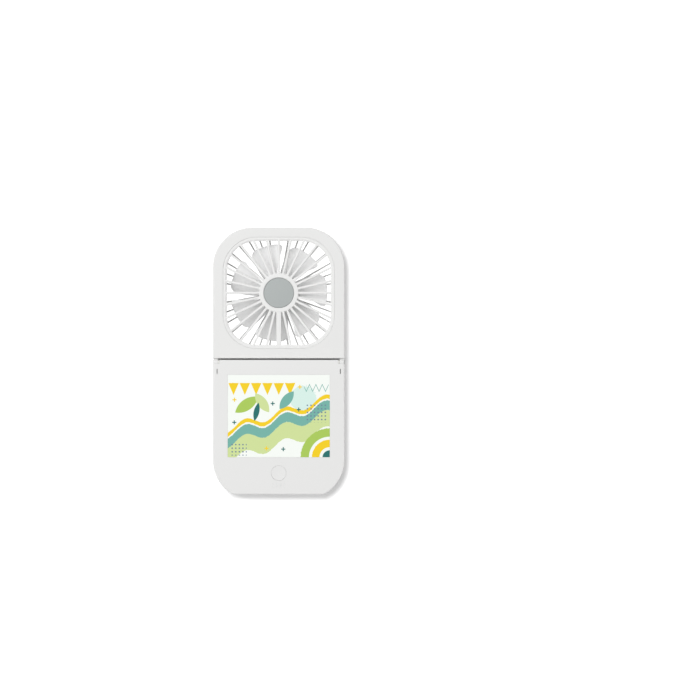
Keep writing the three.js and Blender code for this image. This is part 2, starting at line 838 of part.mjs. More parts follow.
function powerButton() {
  const cap = post(buttonRadius, [flangeLow, baseThickness - seatGap], 0, buttonY);
  const flange = post(buttonRadius + buttonGap + buttonFlange, [flangeLow, flangeTop], 0, buttonY);
  const stem = post(buttonStemRadius, [plungerTop + seatGap, flangeLow + seatGap], 0, buttonY, smallSides);
  return join([cap, flange, stem]);
}

function switchBody() {
  const half = switchWidth / 2;
  const body = block([-half, half], [buttonY - half, buttonY + half], [boardTop + seatGap, switchTop]);
  const depth = plungerDepth + buttonTravel + fitGap;
  return body.subtract(post(plungerRadius + fitGap, [switchTop - depth, plungerTop], 0, buttonY, smallSides));
}

function switchPlunger() {
  return post(plungerRadius, [switchTop - plungerDepth, plungerTop], 0, buttonY, smallSides);
}

const ledTop = boardTop + seatGap + ledHeight;

// A clear bar over the lights whose fins stand in the slits.
function lightGuide() {
  const half = lightX(lightCount - 1) + lightPitch / 2;
  const barTop = coverUnder - seatGap;
  const y = [slitY - guideWidth / 2, slitY + guideWidth / 2];
  const bar = block([-half, half], y, [ledTop + guideGap, barTop]);
  return join([bar, ...lightBars(-seatGap, [barTop - seatGap, baseThickness - seatGap])]);
}

// Board, socket and cell

function circuitBoard() {
  const whole = slab(baseOutline(wall + boardGap, cavityTop), boardLow, boardTop);
  const board = whole.intersect(block(everywhereX, [baseBottom, boardEnd], [0, baseThickness]));
  return cut(board, bosses(baseScrewPlaces, baseScrew, [0, baseThickness], boardGap));
}

function usbSocket() {
  const z = (usbLow + usbTop) / 2;
  const y = [usbFront, usbFront + usbLength];
  const back = y[1] - usbBackWall;
  const inside = uprightSlab(usbOutline(-usbShell), [y[0] - beyond, back], z);
  const tongue = block(
    [-usbTongueWidth / 2, usbTongueWidth / 2],
    [y[0] + usbTongueSetback, back + seatGap],
    [z - usbTongueThickness / 2, z + usbTongueThickness / 2],
  );
  return uprightSlab(usbOutline(0), y, z).subtract(inside).add(tongue);
}

function batteryCell() {
  const halfY = (cellTop - cellBottom) / 2;
  const outline = roundedRectangle(cellHalfX, halfY, cellCornerRadius, (cellTop + cellBottom) / 2);
  return slab(outline, cellLow, cellLow + cellThickness, cellEdgeRound);
}

function batteryFoam() {
  const x = [foamInset - cellHalfX, cellHalfX - foamInset];
  const y = [cellBottom + foamInset, cellTop - foamInset];
  return block(x, y, [wall + seatGap, wall + seatGap + foamThickness]);
}

function batteryGuardBoard() {
  const low = cellLow + guardRise;
  const y = cellBottom - cellGap / 2;
  return block([-guardLength / 2, guardLength / 2], [y - guardThickness, y], [low, low + guardHeight]);
}

// From the guard board up and over the edge of the circuit board.
function batteryLead(x) {
  const y = cellBottom - cellGap / 2 - guardThickness - leadRadius - fitGap;
  const z = boardTop + leadRadius + swingGap;
  return wire([
    [x, y, cellLow + guardHeight / 2],
    [x, y, boardTop - 2 * leadRadius],
    [x, y, boardTop + 2 * leadRadius],
    [x, boardEnd - 2 * leadRadius, z + 2 * leadRadius],
    [x, boardEnd - 6 * leadRadius, z + leadRadius],
    [x, boardEnd - 9 * leadRadius, z],
  ]);
}

// Out of the hollow right pin, down beside the cell and over the edge of the circuit board.
function motorLeadBase() {
  const x = fenceX + fenceThickness + 2 * leadRadius + swingGap;
  const z = boardTop + leadRadius + swingGap;
  const thin = hingePinBore - runGap;
  const dropX = pinInner - leadPocketLength / 2;
  const farY = boardEnd - 6 * leadRadius;
  return wire([
    [cheekX, hingeY, hingeZ],
    [pinInner, hingeY, hingeZ],
    [pinInner - 2 * thin, hingeY, hingeZ],
    [dropX + 2 * thin, hingeY - thin, hingeZ - thin],
    [dropX, hingeY - knuckleRadius, hingeZ - 2 * knuckleRadius],
    [dropX, notchBack - notchWall, notchFloor - notchWall],
    [x - 4 * leadRadius, cellTop, (hingeZ + z) / 2 - 6 * leadRadius],
    [x, cellTop - 12 * leadRadius, z + 2 * leadRadius],
    [x, (cellTop + cellBottom) / 2, z],
    [x, cellBottom, z],
    [x - 2 * leadRadius, boardEnd, z],
    [x - 8 * leadRadius, farY, z],
    [x - 16 * leadRadius, farY, z],
  ], thin);
}

// Small parts on the hinge axis, made at the local origin and put in place on both sides

const smallPinLength = pinOuter - runGap - pinInner;

function hingePin(hollow) {
  const pin = rod(hingePinRadius, [0, smallPinLength], 0, 0);
  return hollow ? pin.subtract(rod(hingePinBore, [-beyond, smallPinLength + beyond], 0, 0)) : pin;
}

function hingeWasher() {
  const ring = rod(knuckleRadius - fitGap, [0, hingeWasherThickness], 0, 0);
  return ring.subtract(rod(hingePinRadius + runGap, [-beyond, beyond], 0, 0));
}

// Colours and finishes

function finish(color, roughness, metalness = 0) {
  return new THREE.MeshStandardMaterial({ color, roughness, metalness });
}

const whiteShell = finish(0xe9e9e8, 0.45);
const whiteGrille = finish(0xececeb, 0.4);
const whiteBlade = finish(0xdcdddd, 0.35);
const greyCap = finish(0xb2b8b7, 0.5);
const clearGuide = finish(0xf4f6f6, 0.2);
const printedFilm = finish(0xf6f8f4, 0.5);
const steel = finish(0xb8bcc0, 0.3, 1);
const whiteNylon = finish(0xe4e4e0, 0.5);
const copper = finish(0xb87333, 0.4, 1);
const blackPlastic = finish(0x1c1d1f, 0.5);
const greenBoard = finish(0x1f5a3a, 0.5);
const cellFoil = finish(0xc6cbd1, 0.4, 0.6);
const greyFoam = finish(0x55585c, 0.95);
const redWire = finish(0xb3261e, 0.5);
const blackWire = finish(0x222222, 0.5);
const whiteWire = finish(0xdedede, 0.5);
const amberLed = finish(0xf2e6b8, 0.3);

// Assembly: the head turns on the base, the rotor turns in the head and the button slides in the base

const fan = new THREE.Group();
const head = new THREE.Group();
const rotor = new THREE.Group();
const base = new THREE.Group();
const button = new THREE.Group();
head.add(rotor);
base.add(button);
fan.add(base, head);

function place(group, name, solid, material, position = [0, 0, 0]) {
  const mesh = new THREE.Mesh(geometryOf(solid), material);
  mesh.name = name;
  mesh.position.set(...position);
  group.add(mesh);
}

place(head, 'head_front_shell', headFrontShell(), whiteShell);
place(head, 'head_rear_shell', headRearShell(), whiteShell);
place(head, 'front_grille', frontGrille(), whiteGrille);
place(head, 'rear_grille', rearGrille(), whiteGrille);
place(head, 'hub_cap', hubCap(), greyCap);
place(head, 'motor_can', motorCan(), steel);
place(head, 'motor_end_cap', motorEndCap(), blackPlastic);
place(head, 'motor_lead_head', motorLeadHead(), whiteWire);
headScrewPlaces.forEach(([x, y], i) => {
  const solid = screwSolid(headScrew, headPartingHeight);
  place(head, `head_screw_${i + 1}`, solid, steel, [x, y, screwSunk]);
});

place(rotor, 'impeller', impeller(), whiteBlade);
place(rotor, 'motor_rotor', motorRotor(), copper);
place(rotor, 'motor_shaft', post(shaftRadius, [shaftLow, shaftTop], 0, fanY, smallSides), steel);

place(base, 'base_front_cover', baseFrontCover(), whiteShell);
place(base, 'base_rear_cover', baseRearCover(), whiteShell);
place(base, 'print_film', printFilm(), printedFilm);
place(base, 'hinge_pin_left', hingePin(false), steel, [runGap - pinOuter, hingeY, hingeZ]);
place(base, 'hinge_pin_right', hingePin(true), steel, [pinInner, hingeY, hingeZ]);
const washerX = cheekX + sideGap;
const washerEndX = washerX + hingeWasherThickness;
place(base, 'hinge_washer_left', hingeWasher(), whiteNylon, [-washerEndX, hingeY, hingeZ]);
place(base, 'hinge_washer_right', hingeWasher(), whiteNylon, [washerX, hingeY, hingeZ]);
place(base, 'circuit_board', circuitBoard(), greenBoard);
place(base, 'usb_socket', usbSocket(), steel);
place(base, 'switch_body', switchBody(), blackPlastic);
place(base, 'light_guide', lightGuide(), clearGuide);
place(base, 'battery_cell', batteryCell(), cellFoil);
place(base, 'battery_foam', batteryFoam(), greyFoam);
place(base, 'battery_guard_board', batteryGuardBoard(), greenBoard);
place(base, 'battery_lead_red', batteryLead(batteryLeadX), redWire);
place(base, 'battery_lead_black', batteryLead(-batteryLeadX), blackWire);
place(base, 'motor_lead_base', motorLeadBase(), whiteWire);
baseScrewPlaces.forEach(([x, y], i) => {
  const solid = screwSolid(baseScrew, basePartingHeight);
  place(base, `base_screw_${i + 1}`, solid, steel, [x, y, screwSunk]);
});

const chipHalf = chipSize / 2;
const chip = block([-chipHalf, chipHalf], [-chipHalf, chipHalf], [0, chipHeight]);
place(base, 'control_chip', chip, blackPlastic, [-switchWidth - chipSize, buttonY, boardTop + seatGap]);
const inductor = post(inductorRadius, [0, inductorHeight], 0, 0, smallSides);
place(base, 'charge_inductor', inductor, blackPlastic, [switchWidth + chipSize, buttonY, boardTop + seatGap]);
for (let i = 0; i < lightCount; i += 1) {
  const led = block([-ledWidth / 2, ledWidth / 2], [-ledLength / 2, ledLength / 2], [0, ledHeight]);
  place(base, `led_${i + 1}`, led, amberLed, [lightX(i), slitY, boardTop + seatGap]);
}

place(button, 'power_button', powerButton(), whiteShell);
place(button, 'switch_plunger', switchPlunger(), blackPlastic);

export default fan;
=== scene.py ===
# %% [markdown]
# A flat pocket fan lies open on its back. Its square head folds on a base that holds the cell, the button
# and a printed film. The CAD model already gives every piece its size, place and motion. This lesson
# gives the pieces that show their smooth surfaces, gives every piece its finish, and then lights the fan
# and takes its picture from straight above.

# %% Load the frame
import json
import math

import bmesh
import bpy
import numpy as np
from mathutils import Matrix, Vector

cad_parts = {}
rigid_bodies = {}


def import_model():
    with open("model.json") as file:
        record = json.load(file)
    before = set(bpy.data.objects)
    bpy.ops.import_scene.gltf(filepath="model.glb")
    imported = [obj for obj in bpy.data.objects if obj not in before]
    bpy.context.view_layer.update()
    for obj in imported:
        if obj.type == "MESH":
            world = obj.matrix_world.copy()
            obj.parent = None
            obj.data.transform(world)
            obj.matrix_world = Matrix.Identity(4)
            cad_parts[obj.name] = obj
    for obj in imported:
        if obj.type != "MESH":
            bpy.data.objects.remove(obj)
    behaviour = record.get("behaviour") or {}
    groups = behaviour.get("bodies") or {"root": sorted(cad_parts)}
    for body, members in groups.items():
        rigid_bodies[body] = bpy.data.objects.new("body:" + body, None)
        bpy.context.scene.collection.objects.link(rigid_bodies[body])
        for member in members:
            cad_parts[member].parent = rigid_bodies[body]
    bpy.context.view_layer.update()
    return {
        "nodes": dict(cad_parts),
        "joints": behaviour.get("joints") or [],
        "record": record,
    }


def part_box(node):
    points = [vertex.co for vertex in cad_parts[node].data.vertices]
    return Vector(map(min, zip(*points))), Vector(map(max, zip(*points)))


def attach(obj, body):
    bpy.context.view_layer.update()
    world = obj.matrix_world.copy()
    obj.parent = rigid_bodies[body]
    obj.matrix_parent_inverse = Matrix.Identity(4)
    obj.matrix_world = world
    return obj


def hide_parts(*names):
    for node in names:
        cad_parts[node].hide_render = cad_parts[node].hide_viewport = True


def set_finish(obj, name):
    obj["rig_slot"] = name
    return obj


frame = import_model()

MM = 0.001  # sizes are in millimetres, and meshes in metres

# %% [markdown]
# A model stays easy to change when its sizes come from one source. The boxes of the CAD nodes and the
# places of the joints give nearly all the sizes here, so the surfaces land exactly where the solids are.

# %% Sizes from the frame
def span(node):
    """Lowest and highest corner of a CAD node."""
    return np.array(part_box(node)) / MM


def joint_place(name):
    """A point on a joint's axis."""
    return next(np.array(joint["pos_m"]) / MM for joint in frame["joints"] if joint["name"] == name)


GRILLE_RECESS = 0.2  # of the grilles under the faces of the head
GRILLE_FIT = 0.1  # between a grille and its seat
RIM_WIDTH = 1.9
PARTING_GAP = 0.12
REST_GAP = 0.05  # between a piece and what it rests on

base_low, base_high = span("base_rear_cover")
head_low, head_high = span("head_rear_shell")
grille_low, grille_high = span("front_grille")

HALF_WIDTH = base_high[0]
BASE_FOLD, BASE_END = base_high[1], base_low[1]
HEAD_FOLD, HEAD_END = head_low[1], head_high[1]
BASE_FRONT = span("base_front_cover")[1][2]
HEAD_FRONT = grille_high[2] + GRILLE_RECESS
TRAY_PARTING = base_high[2]
LID_PARTING = TRAY_PARTING + PARTING_GAP
REAR_PARTING = head_high[2]
FRONT_PARTING = REAR_PARTING + PARTING_GAP
WINDOW_HALF = grille_high[0] - RIM_WIDTH
FAN_Y = joint_place("impeller_spin")[1]
HINGE_Y, HINGE_Z = joint_place("head_fold")[1:]
print("half width", HALF_WIDTH.round(2), "base front", BASE_FRONT.round(2), "head front", HEAD_FRONT.round(2))

# %% [markdown]
# The picture was taken from straight above with a long lens, so the fan shows no sides. The camera hangs
# over a point to the right of the fan, because the fan lies left of the middle of the picture. One pixel
# covers about half a millimetre, which sets the focal length.

# %% Camera
CAMERA_PLACE = (37.8, 5.8)
CAMERA_DISTANCE = 10000
FIELD = 371.5  # width that the picture shows at the height of the faces
SENSOR = 36


def put(name, data):
    """Adds an object with this data to the scene."""
    item = bpy.data.objects.new(name, data)
    bpy.context.scene.collection.objects.link(item)
    return item


lens = bpy.data.cameras.new("camera")
lens.sensor_width = SENSOR
lens.lens = SENSOR * CAMERA_DISTANCE / FIELD
camera = put("camera", lens)
camera.location = np.array([*CAMERA_PLACE, HEAD_FRONT + CAMERA_DISTANCE]) * MM
bpy.context.scene.camera = camera
bpy.context.scene.view_settings.view_transform = "Standard"
print("focal length", round(lens.lens, 1), "mm")

# %% [markdown]
# Every surface below is a grid of points: one direction runs along an outline, the other from outline to
# outline. Numpy works out all the points at once, and this helper turns them into a mesh. Points that fall
# together, as at the middle of a disc, become one, and the faces are turned to point outwards.

# %% From grids of points to meshes
WELD = 1e-7  # metres
# Along which of x, y and z an outline's two directions and its height run.
UPRIGHT, ALONG_X, ALONG_Y = (0, 1, 2), (1, 2, 0), (0, 2, 1)


def surface(name, points, wrap_rows=False, caps=True):
    """Makes a closed mesh from points[row, column] or points[copy, row, column].

    Each row is a closed outline. Neighbouring rows are joined by quads. Either the last row joins the
    first one, or a flat face caps both."""
    points = np.asarray(points, float) * MM
    points = points.reshape(-1, *points.shape[-3:])
    index = np.arange(points[..., 0].size).reshape(points.shape[:3])
    ends = [] if wrap_rows or not caps else index[:, 0].tolist() + index[:, -1].tolist()
    if wrap_rows:
        index = np.concatenate([index, index[:, :1]], axis=1)
    index = np.concatenate([index, index[:, :, :1]], axis=2)
    corners = [index[:, :-1, :-1], index[:, :-1, 1:], index[:, 1:, 1:], index[:, 1:, :-1]]
    quads = np.stack(corners, axis=-1).reshape(-1, 4).tolist()
    mesh = bpy.data.meshes.new(name)
    mesh.from_pydata(points.reshape(-1, 3).tolist(), [], quads + ends)
    work = bmesh.new()
    work.from_mesh(mesh)
    bmesh.ops.remove_doubles(work, verts=work.verts, dist=WELD)
    bmesh.ops.recalc_face_normals(work, faces=work.faces)
    work.to_mesh(mesh)
    work.free()
    return put(name, mesh)


def stack(rows, axes=UPRIGHT):
    """Lays outlines at their heights: rows are pairs of an outline and a height."""
    points = np.stack([np.column_stack([loop, np.full(len(loop), height)]) for loop, height in rows])
    placed = np.empty_like(points)
    placed[..., list(axes)] = points
    return placed


def prism(name, loop, start, stop, axes=UPRIGHT):
    """One outline carried straight from one height to another."""
    return surface(name, stack([(loop, start), (loop, stop)], axes))


def combine(piece, tool, operation="DIFFERENCE"):
    """Cuts the tool out of a piece, or joins it to the piece, and removes the tool."""
    modifier = piece.modifiers.new(operation, "BOOLEAN")
    modifier.operation = operation
    modifier.solver = "EXACT"
    modifier.object = tool
    graph = bpy.context.evaluated_depsgraph_get()
    piece.data = bpy.data.meshes.new_from_object(piece.evaluated_get(graph))
    piece.modifiers.clear()
    bpy.data.objects.remove(tool)
    return piece


print("mesh helpers ready")

# %% [markdown]
# Most outlines of this fan are circles and rounded rectangles. Each one is a formula, so a hole, its lip
# and the part that fits into it can share the formula and differ only in how far it is grown. Holes get
# a small rounded lip, because a moulded edge is never perfectly sharp and the lip catches the light.

# %% Outlines and holes
CORNER_STEPS = 24
CIRCLE_STEPS = 72
LIP_ANGLES = np.radians([0, 22, 44, 66])
PAST = 1  # how far a cutting tool reaches past a face


def rounded_loop(half_x, half_y, radius, centre=(0, 0), steps=CORNER_STEPS):
    """Rounded rectangle, counterclockwise: each corner is a quarter circle about its own centre."""
    signs = np.array([[1, -1], [1, 1], [-1, 1], [-1, -1]])
    starts = np.array([-0.5, 0, 0.5, 1]) * np.pi
    angle = starts[:, None] + np.linspace(0, np.pi / 2, steps + 1)
    x = centre[0] + signs[:, :1] * (half_x - radius) + radius * np.cos(angle)
    y = centre[1] + signs[:, 1:] * (half_y - radius) + radius * np.sin(angle)
    return np.stack([x, y], axis=-1).reshape(-1, 2)


def circle_loop(radius, centre=(0, 0), steps=CIRCLE_STEPS):
    """Circle: radius times the cosine and the sine of evenly spread angles, about the centre."""
    angle = np.arange(steps) * 2 * np.pi / steps
    return np.column_stack([np.cos(angle), np.sin(angle)]) * radius + centre


def turned(profile, centre=(0, 0), steps=CIRCLE_STEPS):
    """Turned shape: every point of the profile, a radius and a height, becomes a circle about the centre."""
    return stack([(circle_loop(radius, centre, steps), height) for radius, height in profile])


def quarter(steps):
    """Quarter circle of radius 1 that turns from a wall into a face: the way it has gone in from the wall,
    1 - cos, and its depth under the face, 1 - sin."""
    angle = np.linspace(0, np.pi / 2, steps + 1)
    return np.array([1 - np.cos(angle), 1 - np.sin(angle)])


def hole(grown_loop, bottom, face, lip, axes=UPRIGHT):
    """Tool for a hole from a face down to its bottom, given the outline for any growth.

    Near the face the outline grows along an arc of the lip's radius and then leaves the face steeply."""
    way = np.sign(face - bottom)
    growth = lip * (1 - np.cos(LIP_ANGLES))
    height = face - way * lip * (1 - np.sin(LIP_ANGLES))
    flare = growth[-1] + PAST * math.tan(LIP_ANGLES[-1])
    levels = [(0, bottom), *zip(growth, height), (flare, height[-1] + way * PAST)]
    return surface("hole", stack([(grown_loop(grown), level) for grown, level in levels], axes))


print("a window corner has", CORNER_STEPS, "steps")

# %% [markdown]
# Head and base are moulded boxes of one width. Their far ends have round corners and their ends at the fold
# are cut square. A corner of the base turns wide at first and then runs into its flat end with a tighter
# arc. The skin starts at the parting line with a tiny bevel, climbs the side wall, and turns
# into the face along a quarter circle. At the fold that turn is tighter. A last row just past the turn
# keeps the big flat face flat in the shading.

# %% Casing outlines
HEAD_CORNER = 21
BASE_CORNER = 21
BASE_CORNER_END = 4  # tighter arc that runs into the flat end
BASE_CORNER_TURN = math.radians(58)  # where it takes over from the wide one
EDGE_ROUND = 0.6
EDGE_STEPS = 7
WALL = 1.8
PARTING_EASE = 0.15
FACE_MARGIN = 0.3
SQUARE_CORNER = 0.35  # rounding of the upright edges at the fold
FOLD_REACH = 22  # stretch of the sides that counts as a corner at the fold
RUN_STEPS = 6


class Casing:
    """Outline of the head or the base, from the fold to the round end."""

    def __init__(self, fold, end, corner, end_corner=None, turn=np.pi / 4):
        self.fold = fold
        self.end = end
        self.corner = corner
        self.end_corner = end_corner or corner
        self.turn = turn
        self.corner_length = self.end_corner + (corner - self.end_corner) * math.sin(turn)

    def loop(self, inset, fold_inset):
        """Half the outline runs along the fold, round the square corner, up the side and round the end's
        corner. That corner is an arc up to the turn and an arc of the end's radius after it; both shrink
        with the inset, and their centres lie on one ray. The other half is the mirror image."""
        side = HALF_WIDTH - inset
        bend = np.linspace(-np.pi / 2, 0, CORNER_STEPS + 3 - 2 * RUN_STEPS)[1:-1]
        half = CORNER_STEPS // 2
        arc = np.linspace(0, self.turn, half, endpoint=False)
        arc = np.concatenate([arc, np.linspace(self.turn, np.pi / 2, half + 1)])
        radius = np.where(arc < self.turn, self.corner, self.end_corner)
        shift = self.corner - radius
        x = np.concatenate([
            np.linspace(HALF_WIDTH - FOLD_REACH, side - SQUARE_CORNER, RUN_STEPS),
            side - SQUARE_CORNER * (1 - np.cos(bend)),
            np.full(RUN_STEPS, side),
            HALF_WIDTH - self.corner + shift * math.cos(self.turn) + (radius - inset) * np.cos(arc),
        ])
        y = np.concatenate([
            np.full(RUN_STEPS, fold_inset),
            fold_inset + SQUARE_CORNER * (1 + np.sin(bend)),
            np.linspace(fold_inset + SQUARE_CORNER, FOLD_REACH, RUN_STEPS),
            abs(self.end - self.fold) - self.corner_length + shift * math.sin(self.turn)
            + (radius - inset) * np.sin(arc),
        ])
        right = np.column_stack([x, self.fold + np.sign(self.end - self.fold) * y])
        return np.concatenate([right, right[::-1] * [-1, 1]])

    def skin(self, parting, face, fold_round):
        """Rows from the parting line to the face, which the edge meets in a quarter circle. The fold has its
        own circle: inset = radius - square root of (radius^2 - height above its centre^2)."""
        way = np.sign(face - parting)
        inset, drop = EDGE_ROUND * quarter(EDGE_STEPS)
        fold_inset = fold_round - np.sqrt(fold_round**2 - np.clip(fold_round - drop, 0, None) ** 2)
        rows = [(PARTING_EASE, PARTING_EASE, parting), (0, 0, parting + way * PARTING_EASE)]
        rows += zip(inset, fold_inset, face - way * drop)
        rows += [(EDGE_ROUND + FACE_MARGIN, fold_round + FACE_MARGIN, face)]
        return [(self.loop(i, f), height) for i, f, height in rows]


HEAD = Casing(HEAD_FOLD, HEAD_END, HEAD_CORNER)
BASE = Casing(BASE_FOLD, BASE_END, BASE_CORNER, BASE_CORNER_END, BASE_CORNER_TURN)
print("outline points:", len(HEAD.loop(0, 0)))

# %% [markdown]
# A finished piece needs smooth shading on its rounds and crisp breaks on its edges. Faces shade smoothly up
# to a chosen angle, and the Weighted Normal modifier lets the large flat faces win over the small rounds
# beside them, so that flats stay flat. Then the piece takes over the place of its CAD node.

# %% Finishing a piece
SHARP = math.radians(40)


def dress(piece, body, node, slot, weighted=True):
    """Smooths a piece, lets it ride on its body and stand for its node, and says what it is."""
    mesh = piece.data
    mesh.polygons.foreach_set("use_smooth", np.ones(len(mesh.polygons), bool))
    mesh.set_sharp_from_angle(angle=SHARP)
    if weighted:
        modifier = piece.modifiers.new("weighted", "WEIGHTED_NORMAL")
        modifier.keep_sharp = True
    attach(piece, body)
    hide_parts(node)
    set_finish(piece, slot)
    print(f"{piece.name}: {len(mesh.polygons)} faces, rides on {body}, stands for {node}")


print("edges are sharp from", round(math.degrees(SHARP)), "degrees")

# %% [markdown]
# The head is two moulded halves round a square window. Each half is one closed section carried round the
# outline: up the outer skin, over the face, down the stepped seat of the grille, down the duct wall, and
# back through the hollow between duct and skin. It could also be cut from a block, but the carried
# section gives clean quads and the same number of points on the outer outline and on the window.

# %% Halves of the head
WINDOW_CORNER = 16
SEAT_GROWTH = RIM_WIDTH + GRILLE_FIT
SEAT_DEPTH = 2.4
SEAT_LEDGE = 1.6
SEAT_LIP = 0.1
SEAT_EASE = 0.15
DUCT_GROWTH = 0.3
DUCT_WALL = 1.4
LIP_STEPS = 4
HEAD_FOLD_ROUND = 0.2


def window_loop(growth):
    """Outline of the clear window, grown evenly."""
    half = WINDOW_HALF + growth
    return rounded_loop(half, half, WINDOW_CORNER + growth, (0, FAN_Y))


def head_half(name, parting, face):
    """Section of one half of the head, carried round the outline."""
    way = np.sign(face - parting)
    seat = face - way * SEAT_DEPTH
    ledge = seat - way * SEAT_LEDGE
    down, out = SEAT_LIP * quarter(LIP_STEPS)
    inner = [
        (SEAT_GROWTH + SEAT_LIP + FACE_MARGIN, face), *zip(SEAT_GROWTH + out, face - way * down),
        (SEAT_GROWTH, seat + way * SEAT_EASE), (SEAT_GROWTH - SEAT_EASE, seat),
        (DUCT_GROWTH + SEAT_EASE, seat), (DUCT_GROWTH, seat - way * SEAT_EASE), (DUCT_GROWTH, parting),
        (DUCT_GROWTH + DUCT_WALL, parting), (DUCT_GROWTH + DUCT_WALL, ledge),
    ]
    rows = HEAD.skin(parting, face, HEAD_FOLD_ROUND)
    rows += [(window_loop(growth), height) for growth, height in inner]
    rows += [(HEAD.loop(WALL, WALL), ledge), (HEAD.loop(WALL, WALL), parting)]
    return surface(name, stack(rows), wrap_rows=True)


head_front = head_half("head_front_casing", FRONT_PARTING, HEAD_FRONT)
head_rear = head_half("head_rear_casing", REAR_PARTING, 0.0)
print("faces:", len(head_front.data.polygons), len(head_rear.data.polygons))

# %% [markdown]
# Two ears carry the head on its hinge pins. Seen from the side an ear is a round knuckle about the hinge
# axis on a leg, with a foot that grows out of the head's end wall. The outline is carried across the
# ear's width. Its ends are eased, and near the side of the fan the knuckle is flattened so that it
# follows the rounded edge of the base beside it.

# %% Hinge ears
EAR_SET_BACK = 0.4  # from the side of the fan
EAR_WIDTH = 2.3
EAR_OUTER = HALF_WIDTH - EAR_SET_BACK
EAR_INNER = EAR_OUTER - EAR_WIDTH
EAR_EASE = 0.1
EAR_BORE = 0.81
EAR_END_WALL = 0.55
KNUCKLE = 1.4
LEG_FRONT, LEG_BACK = 0.4, 0.7  # from the hinge axis
FOOT_DROP = 1.2  # under the head's face
FOOT_HEIGHT = 2.6
FOOT_TOP = HEAD_FRONT - FOOT_DROP
FOOT_LOW = FOOT_TOP - FOOT_HEIGHT
FOOT_END = HEAD_FOLD + WALL / 2
KNUCKLE_STEPS = 32
ROD_STEPS = 32
EAR_STATIONS = 7


def ear_loop(inset, rise):
    """Outline of an ear in y and z: the knuckle is an arc about the hinge axis that runs from the front of
    the leg over the top to the back of the leg. Rise flattens what lies above the axis."""
    radius = KNUCKLE - inset
    front = LEG_FRONT - inset
    start = -np.arccos(front / radius)
    stop = 2 * np.pi - np.arccos((inset - LEG_BACK) / radius)
    angle = np.linspace(start, stop, KNUCKLE_STEPS)
    up = radius * np.sin(angle)
    knuckle = np.column_stack([HINGE_Y + radius * np.cos(angle), HINGE_Z + np.where(up > 0, rise * up, up)])
    back = HINGE_Y - LEG_BACK + inset
    low = FOOT_LOW + inset
    top = FOOT_TOP - inset
    return np.concatenate([knuckle, [(back, low), (FOOT_END, low), (FOOT_END, top), (HINGE_Y + front, top)]])


def ear(side):
    """An ear's outline at stations across its width, with the knuckle kept under the base's edge round."""
    across = np.linspace(EAR_INNER + EAR_EASE, EAR_OUTER - EAR_EASE, EAR_STATIONS)
    across = np.concatenate([[EAR_INNER], across, [EAR_OUTER]])
    inset = np.concatenate([[EAR_EASE], np.zeros(EAR_STATIONS), [EAR_EASE]])
    into_round = np.clip(across - (HALF_WIDTH - EDGE_ROUND), 0, None)
    roof = BASE_FRONT - EDGE_ROUND + np.sqrt(EDGE_ROUND**2 - into_round**2)
    rise = np.minimum(1, (roof - HINGE_Z) / KNUCKLE)
    rows = [(ear_loop(i, r), side * x) for i, r, x in zip(inset, rise, across)]
    return surface("ear", stack(rows, ALONG_X))


def across_rod(radius, start, stop):
    """Round rod along x on the hinge axis."""
    return prism("rod", circle_loop(radius, (HINGE_Y, HINGE_Z), ROD_STEPS), start, stop, ALONG_X)


for side in (-1, 1):
    combine(head_front, ear(side), "UNION")
    combine(head_front, across_rod(EAR_BORE, side * (EAR_INNER - PAST), side * (EAR_OUTER - EAR_END_WALL)))
print("head with ears:", len(head_front.data.polygons), "faces")

# %% [markdown]
# A thin lead runs from the motor behind the widest rib and through a slot in the window's ledge. Small
# screws hold the two halves together. They sit in stepped holes in the back, so the heads end below the face.

# %% Lead slot and screw holes of the head
SCREW_SUNK = span("base_screw_1")[0][2]
SCREW_GAP = 0.1
SCREW_HEAD = 0.9
SINK_DEPTH = SCREW_SUNK + SCREW_HEAD + REST_GAP
SINK_LIP = 0.12
SHANK_STEPS = 24
LEAD_SLOT = 0.8


def screw_place(node):
    """Middle of a screw and the radius of its head, from its box."""
    low, high = span(node)
    return (low[:2] + high[:2]) / 2, (high[0] - low[0]) / 2


def sink_screws(piece, nodes, shank, top):
    """Cuts a stepped hole for each screw: a wide sink for the head and a narrow hole for the shank."""
    for node in nodes:
        centre, radius = screw_place(node)
        wide = radius + SCREW_GAP
        narrow = circle_loop(shank + SCREW_GAP, centre, SHANK_STEPS)
        combine(piece, hole(lambda growth: circle_loop(wide + growth, centre), SINK_DEPTH, 0, SINK_LIP))
        combine(piece, prism("shank", narrow, SINK_DEPTH - PAST / 2, top))


HEAD_SCREWS = [f"head_screw_{i}" for i in range(1, 5)]
BASE_SCREWS = [f"base_screw_{i}" for i in range(1, 5)]
HEAD_SHANK = 0.6
BASE_SHANK = 0.95

slot_middle = (0, FAN_Y - WINDOW_HALF - DUCT_GROWTH - DUCT_WALL / 2)
slot_loop = rounded_loop(LEAD_SLOT, DUCT_WALL, SEAT_EASE, slot_middle, steps=4)
slot_low = HEAD_FRONT - SEAT_DEPTH - SEAT_LEDGE - PAST / 2
combine(head_front, prism("lead_slot", slot_loop, slot_low, HEAD_FRONT - SEAT_DEPTH + PAST))
sink_screws(head_rear, HEAD_SCREWS, HEAD_SHANK, REAR_PARTING + PAST)
dress(head_front, "head", "head_front_shell", "white_shell")
dress(head_rear, "head", "head_rear_shell", "white_shell")

# %% [markdown]
# The front grille is one moulding: a stepped rim that drops into the seat, ribs like the spokes of a wheel,
# and a hub ring that holds the motor. Every rib is a rounded bar carried from the hub to the rim. One rib
# could be copied round in a circle, but in a rounded square every rib has its own length, which follows from
# where its ray meets the edge. So all the ribs are worked out at once.

